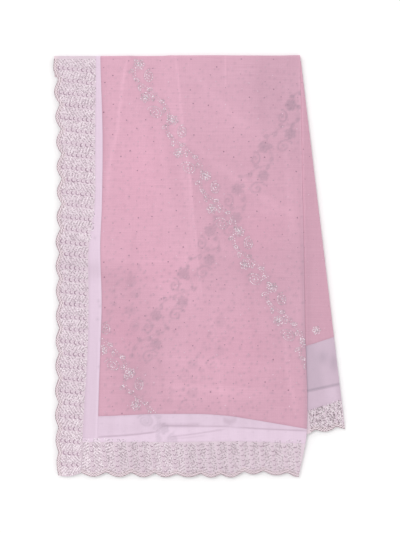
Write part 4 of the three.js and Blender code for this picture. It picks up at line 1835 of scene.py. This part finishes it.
def under_lace_plan() -> LacePlan:
    """The lace of the second stretch; it runs in, out of sight, below the front one."""
    pitch, valley, depth = 46.0, 18.0, 8.0

    def scallops(across: Array) -> Array:
        """How many scallops are passed at a distance in from the fold."""
        return (across - valley) / pitch

    return LacePlan(
        node="under_lace",
        scallops=scallops,
        run=(-1.2, 126.0),
        trimmed=(1.0, 75.0),
        edge=lambda across: -(UNDER_AT.tip(across) - depth * (1 - lobe(scallops(across)))),
        seam=lambda across: -UNDER_AT.lace(across),
        put=lambda across, up, rise: BELOW.place(across, -up, rise),
        flat=(0.13, 0.062),
        gaps=(90, 28),
        spill=Line((0, 130), (3, 0)),
        dim=Line((0, 25, 50, 75), (0.05, 0.1, 0.14, 0.14)),
        pale=0.0,
    )


# ------------------------------------------------------------------ the second stretch


@dataclass
class UnderStretch:
    """The second stretch that fans out on the right: pink panel, band, strip and lace."""

    panel_gaps: Gaps = (90, 180)
    panel_flat: Pair = (0.33, 0.66)
    panel_area: float = 0.172
    facing_gaps: Gaps = (60, 24)
    facing_wide: float = 0.13
    turned_in: float = -3.5
    round_fold: float = 0.06  # share of the panel's columns that goes round its fold
    flower: Pair = (36, 596)
    stone: float = 1.15
    seed: int = 9

    def facing(self, node: str, high: Line, low: Line, shadow: float, grey: float) -> Object:
        """Builds a facing across the second stretch.

        Args:
            node: CAD node that it stands for.
            high: Its upper seam, measured down the stretch.
            low: Its lower seam.
            shadow: How deep its tone is.
            grey: How much of what lies below shows, and how deep the painted shadow line is.

        Returns:
            The piece.
        """

        def spot(s: Array, t: Array) -> Spot:
            """Distances across and down for shares of the piece.

            Args:
                s: Shares across.
                t: Shares along.

            Returns:
                Two distances for each point.
            """
            across = np.interp(1 - s, [0, 0.1, 1], [self.turned_in, 2, 128])
            top, bottom = high(across) + EASE, low(across) - EASE
            return across, bottom + (top - bottom) * t

        def place(s: Array, t: Array) -> Array:
            """Its outer face, rolled up along its lower seam."""
            across, down = spot(s, t)
            return BELOW.place(across, down, 0.5 * ridge(low(across) - down - 1.8, 2.2))

        def tone(s: Array, t: Array) -> Array:
            """Painted shade on the lower seam; deeper under and near the front fold and beside its own
            fold.

            Args:
                s: Shares across.
                t: Shares along.

            Returns:
                A tone for each point.
            """
            across = spot(s, t)[0]
            beside = 0.3 * smooth(18, 46, across) + 0.35 * smooth(14, 2, across)
            # the middle term is painted shade along the lower seam
            return shadow + 0.4 * smooth(0.12, 0, t) + beside

        def below(s: Array, t: Array) -> Array:
            """Grey smudges and dots on the stretch below show; a painted shadow runs above its lower seam.

            Args:
                s: Shares across.
                t: Shares along.

            Returns:
                A share for each point.
            """
            across, down = spot(s, t)
            dots = 0.14 * nearness(across, down, quincunx((0, 600), (60, 760)), 2.0)
            smudge = 1.6 * ridge(across - 30, 11) * ridge(down - 656, 14)
            smudge += 1.6 * ridge(across - 8, 8) * ridge(down - 671, 18)
            # a painted shadow line just above the lower seam
            line = ridge(low(across) - down - 4.6, 1.0 + 0.5 * ridge(across - 34, 14))
            beside = smooth(34, 50, across + 0.12 * (down - 650))
            return dots + grey * (0.2 + 1.2 * smudge + 3.2 * line + beside) + 0.1 * smooth(12, 2, across)

        shades = {"tone": tone, "below": below}
        piece = thin_cloth(node + "_facing", node, Finish.LILAC, self.facing_gaps, place, **shades)
        stations = np.array([0.0, 60, 120])
        tall = float(np.mean(low(stations) - high(stations)))
        return declare_sheet(piece, (self.facing_wide, tall * MM))

    def spot(self, s: Array, t: Array) -> Spot:
        """Distances across and down for shares of the panel.

        Args:
            s: Shares across.
            t: Shares along.

        Returns:
            Two distances for each point.
        """
        low, s = UNDER_AT.panel, 1 - s
        down = BELOW.start + (low(0.0) - BELOW.start) * (1 - t)
        edge = CREASE_AT.edge(BELOW.pivot[1] - down * math.cos(BELOW.turn))
        fold = BELOW.pivot[0] + down * math.sin(BELOW.turn)
        reach = (fold - edge - 7) / math.cos(BELOW.turn)
        turned = np.interp(s, [0, self.round_fold], [self.turned_in, 2])
        inner = 2 + (reach - 2) * (s - self.round_fold) / (1 - self.round_fold)
        across = np.where(s < self.round_fold, turned, inner)
        start = BELOW.start - across * math.tan(BELOW.turn)
        return across, start + (low(across) - 2 * EASE - start) * (1 - t)

    def panel(self) -> Object:
        """Builds the pink panel of the second stretch."""

        def place(s: Array, t: Array) -> Array:
            """Its outer face."""
            across, down = self.spot(s, t)
            return BELOW.place(across, down, -0.3 * ridge(UNDER_AT.panel(across) - down, 2.5))

        def beyond(s: Array, t: Array) -> Spot:
            """How far it reaches past the front fold, and height above the hem."""
            u, v = BELOW.spot(*self.spot(s, t))
            return u - CREASE_AT.fold(v), v

        def tone(s: Array, t: Array) -> Array:
            """Deep all over; painted light where the front fold's shadow falls; deeper along the lower
            seam.

            Args:
                s: Shares across.
                t: Shares along.

            Returns:
                A tone for each point.
            """
            across, down = self.spot(s, t)
            # painted light close to the front fold, where its shadow falls
            near = smooth(7, 0, beyond(s, t)[0])
            return 0.8 - 0.7 * near + 0.3 * ridge(UNDER_AT.panel(across) - down, 2.6)

        def below(s: Array, t: Array) -> Array:
            """A soft shadow close to the front fold."""
            past, v = beyond(s, t)
            return 0.17 * ridge(past - 5, 9) * smooth(640, 460, v)

        shades = {"tone": tone, "below": below}
        piece = thin_cloth("under_cloth", "under_panel", Finish.PINK, self.panel_gaps, place, **shades)
        return declare_sheet(piece, self.panel_flat, area=self.panel_area, with_pieces=[self.stones()])

    def stones(self) -> Object:
        """Sets the dots, and the one flower that shows beside the front fold."""
        chance = np.random.default_rng(self.seed)
        dots = quincunx((3, 60), (75, 606)) - [0, 4]
        dots = dots[dots[:, 0] > 2.5]
        flower = 0.85 * VineMotifs().flower_stones() + self.flower
        scatter = Scatter(faceted_stone())
        for spots in (dots, flower):
            places = BELOW.place(*spots.T, STONE_SUNK)
            sizes = self.stone * chance.uniform(0.85, 1.12, len(spots))
            turns = chance.uniform(0, math.pi, len(spots))
            scatter.add(places, sizes, turns, chance.random(len(spots)))
        piece = scatter.build("under_dots", Finish.DOT, Finish.SILVER)
        for face in piece.data.polygons[len(dots) * len(scatter.shape.faces):]:
            face.material_index = 1
        return piece

    def build(self) -> None:
        """Builds the second stretch."""
        self.panel()
        panel, tuck, lace = UNDER_AT.panel, UNDER_AT.tuck, UNDER_AT.lace
        self.facing("under_band", panel, tuck, 1.0, 0.25)
        self.facing("under_strip", tuck, lace, 0.65, 0.05)
        fine = {"leaf": 1.7, "leaf_shades": (0.1, 0.6), "knot": 1.05, "clear": (1.0, 1.6)}
        Lace(under_lace_plan(), **fine, muddle=0.36, lattice=(2.9, 2.8), seed=17).build()


# ------------------------------------------------------------------ the hidden stretches


@dataclass(frozen=True)
class Ply:
    """One fold of the stack: its heights, how far in its edge stands, and its scallops' shift."""

    low: float
    high: float
    inset: float
    shift: float


@dataclass
class FoldedStack:
    """The hidden stretches, whose folds and lace edges show one above the other at the sides."""

    plies: tuple[Ply, ...] = (
        Ply(0.0, 1.5, 1.0, 3),
        Ply(1.6, 3.2, 2.6, -4),
        Ply(3.3, 5.0, 0.4, 5),
        Ply(5.1, 6.8, 2.0, -2),
        Ply(6.9, 9.0, 0.6, 1),
    )
    profile: tuple[Pair, ...] = (
        (2.4, 0.0), (0.9, 0.04), (0.2, 0.2), (0.0, 0.5), (0.2, 0.8), (0.9, 0.96), (2.4, 1.0),
    )
    counts: tuple[int, ...] = (60, 8, 6, 91, 31)  # points of the end, its right, notch, side and far edge
    left: float = 24
    hem: float = 17
    notch: float = 114
    notch_tall: float = 6
    far_round: float = 3.6
    far_clear: float = 7
    fold_clear: float = 2.2
    front_clear: float = 3.6
    lace_clear: float = 4.2
    lace_starts: Pair = (76, 765)  # above the hem of the front stretch, and down the second one
    lilac_starts: Pair = (130, 625)
    scallop_points: int = 12
    lift: float = 0.1  # between rings, while they are still a plain tube

    def ring(self, z: float, inset: float, shift: float) -> Array:
        """Outline of the stack at one height, anticlockwise, in flat coordinates.

        Args:
            z: Height; the lowest fold leaves room for the cloth that is turned under.
            inset: How far in the edge stands.
            shift: How far the scallops are shifted.

        Returns:
            The ring's points, in millimetres.
        """
        middle = (BASE + WALL) / 2
        half = math.sqrt(max(0, self.far_round**2 - (z - middle) ** 2))
        far = FOLD_LINE - TURNED_UNDER - middle if z <= self.plies[0].high else FOLD_LINE + half
        hem, notch, shoulder = self.hem + inset, self.notch + inset, self.notch + inset + self.notch_tall

        def waver(t: Array) -> Array:
            """Small unevenness of the folds."""
            return 0.45 * np.sin(t / 31 + shift) + 0.2 * np.sin(t / 7.3 + 2 * shift)

        def fold(y: Array) -> Array:
            """Right-hand edge below the second stretch."""
            clear = self.fold_clear + inset + self.far_clear * smooth(FOLD_LINE - 130, FOLD_LINE - 50, y)
            return BELOW.pivot[0] + (BELOW.pivot[1] - y) * math.tan(BELOW.turn) - clear

        def front(y: Array) -> Array:
            """Right-hand edge below the front stretch."""
            return CREASE_AT.fold(y) - self.front_clear - inset

        end, short, turn, side, back = self.counts
        u = self.left + (front(np.array(hem)) - self.left) * np.arange(end) / end
        bottom = (u, hem + np.minimum(0, waver(u)) + 0.3)
        y = np.linspace(hem, notch, short, endpoint=False)
        right = (front(y), y)
        t, inner = np.arange(turn) / turn, front(np.array(notch))
        step = (inner + (fold(np.array(shoulder)) - inner) * t, notch + self.notch_tall * t)
        y = np.linspace(shoulder, far - 4, side)
        outer = (fold(y) + np.minimum(0, waver(y)), y)
        t, corner = np.linspace(0, 1, back), BELOW.pivot[0] - self.far_clear - inset
        top = (corner + (self.left - corner) * t, far + 0 * t)
        y = np.linspace(FOLD_LINE - TURNED_UNDER - 20, hem + 2, SCALLOPS * self.scallop_points)
        left = (side_edge(y + shift) + self.lace_clear + inset + waver(y), y)
        return np.concatenate([np.stack(run, axis=-1) for run in (bottom, right, step, outer, top, left)])

    def ply(self, index: int, ply: Ply) -> Object:
        """Builds one fold as a closed pad with a rounded edge.

        Args:
            index: Its number from the bottom.
            ply: Its sizes.

        Returns:
            The piece.
        """
        rings = []
        for inward, share in self.profile:
            z = ply.low + (ply.high - ply.low) * share
            rings.append(in_frame(*self.ring(z, ply.inset + inward, ply.shift).T, z))
        count = len(rings[0])
        deselect()
        bpy.ops.mesh.primitive_circle_add(vertices=count, radius=1, fill_type="NOTHING")
        piece = just_made(f"stack_fold_{index}")
        for _ in rings[1:]:
            with edit_mode():
                bpy.ops.mesh.extrude_region_move(TRANSFORM_OT_translate={"value": (0, 0, self.lift)})
        x, y, z = points_of(piece).T
        level = np.rint(z / self.lift).astype(int)
        turned = (np.arctan2(y, x) - np.arctan2(y[0], x[0])) % (2 * math.pi)
        slot = np.rint(turned / (2 * math.pi) * count).astype(int) % count
        move_points(piece, np.stack(rings)[level, slot])
        pick(piece)
        with edit_mode():
            bpy.ops.mesh.select_mode(type="EDGE")
            bpy.ops.mesh.select_all(action="DESELECT")
            bpy.ops.mesh.select_non_manifold()
            bpy.ops.mesh.edge_face_add()
            bpy.ops.mesh.select_all(action="SELECT")
            bpy.ops.mesh.normals_make_consistent(inside=False)
        finish_modifier(piece, "TRIANGULATE")
        return piece

    def colour_faces(self, piece: Object) -> None:
        """Gives lace, lilac or pink to each face by where it lies on the cloth."""
        for face in piece.data.polygons:
            u, v = face.center.x / MM + MIDDLE_U, face.center.y / MM + MIDDLE_V
            down = (BELOW.pivot[1] - v) * math.cos(BELOW.turn) - (u - BELOW.pivot[0]) * math.sin(BELOW.turn)
            fanned = u > CREASE_AT.fold(v) - 4
            lace, lilac = (
                u < seam(v) or (down > starts[1] if fanned else v < starts[0])
                for seam, starts in ((SIDE_AT.lace, self.lace_starts), (SIDE_AT.strip, self.lilac_starts))
            )
            face.material_index = 2 if lace else 1 if lilac else 0
            face.use_smooth = True

    def build(self) -> Object:
        """Builds the folds and joins them as the stack."""
        folds = [self.ply(i, ply) for i, ply in enumerate(self.plies)]
        for fold in folds:
            dress(fold, Finish.PINK, Finish.LILAC, Finish.LACE)
            self.colour_faces(fold)
            paint(fold, tone=0.55, below=0.0, rim=0.0)
        pick(folds[0])
        for fold in folds:
            fold.select_set(True)
        bpy.ops.object.join()
        stack = just_made("folded_stack")
        smooth_faces(stack, STACK_CREASE)
        return stand_for(stack, Finish.PINK, "folded_layers")


# ------------------------------------------------------------------ light, floor and camera


@dataclass
class Studio:
    """A pale floor under soft light, seen from straight above."""

    millimetres_a_pixel: float = 2.17
    picture_middle: tuple[float, float] = (318.2, 457.8)
    lens: float = 100.0
    sensor: float = 36.0
    floor_size: float = 12.0
    floor_drop: float = 0.0002
    sky: float = 0.95
    sky_colour: tuple[float, ...] = (1, 0.995, 0.99, 1)
    sun: float = 0.7
    sun_angle: float = 20.0
    sun_tilt: float = 27.0
    sun_from: float = 40.0

    def floor(self) -> None:
        """Lays the floor that the saree rests on."""
        deselect()
        bpy.ops.mesh.primitive_plane_add(size=self.floor_size, location=(0, 0, -self.floor_drop))
        floor = bpy.context.active_object
        floor.name = "floor"
        bpy.ops.object.transform_apply(location=True, rotation=True, scale=True)
        floor.data.materials.append(Ground().make())

    def lights(self) -> None:
        """Sets the pale sky and a wide soft sun from the upper left."""
        world = bpy.data.worlds.new("pale_sky")
        world.use_nodes = True
        background = world.node_tree.nodes["Background"]
        background.inputs["Color"].default_value = self.sky_colour
        background.inputs["Strength"].default_value = self.sky
        bpy.context.scene.world = world
        lamp = bpy.data.lights.new("soft_sun", "SUN")
        lamp.energy, lamp.angle = self.sun, math.radians(self.sun_angle)
        hung = bpy.data.objects.new("soft_sun", lamp)
        hung.location = (-1, 1, 2)
        hung.rotation_euler = (-math.radians(self.sun_tilt), 0, math.radians(self.sun_from))
        bpy.context.collection.objects.link(hung)
        bpy.context.scene.view_settings.view_transform = "Standard"

    def camera(self) -> None:
        """Sets the camera straight above, framed on the picture's middle."""
        data = bpy.data.cameras.new("camera")
        data.lens, data.sensor_width = self.lens, self.sensor
        tall = PICTURE_HEIGHT * self.millimetres_a_pixel * MM
        away = tall * self.lens / self.sensor
        camera = bpy.data.objects.new("camera", data)
        u, v = self.picture_middle
        camera.location = ((u - MIDDLE_U) * MM, (v - MIDDLE_V) * MM, away + BASE * MM)
        bpy.context.collection.objects.link(camera)
        bpy.context.scene.camera = camera

    def build(self) -> None:
        """Builds the whole studio."""
        self.floor()
        self.lights()
        self.camera()


def main() -> None:
    """Builds every sub-assembly of the saree and its studio."""
    logging.basicConfig(level=logging.INFO, format="%(message)s")
    Studio().build()
    FoldedStack().build()
    UnderStretch().build()
    FrontPanel().build()
    Facings().build()
    Lace(side_lace_plan()).build()
    Lace(hem_lace_plan(), leaf=2.7, leaf_shades=(0.05, 0.75), muddle=0.27, seed=7).build()


if __name__ == "__main__":
    main()
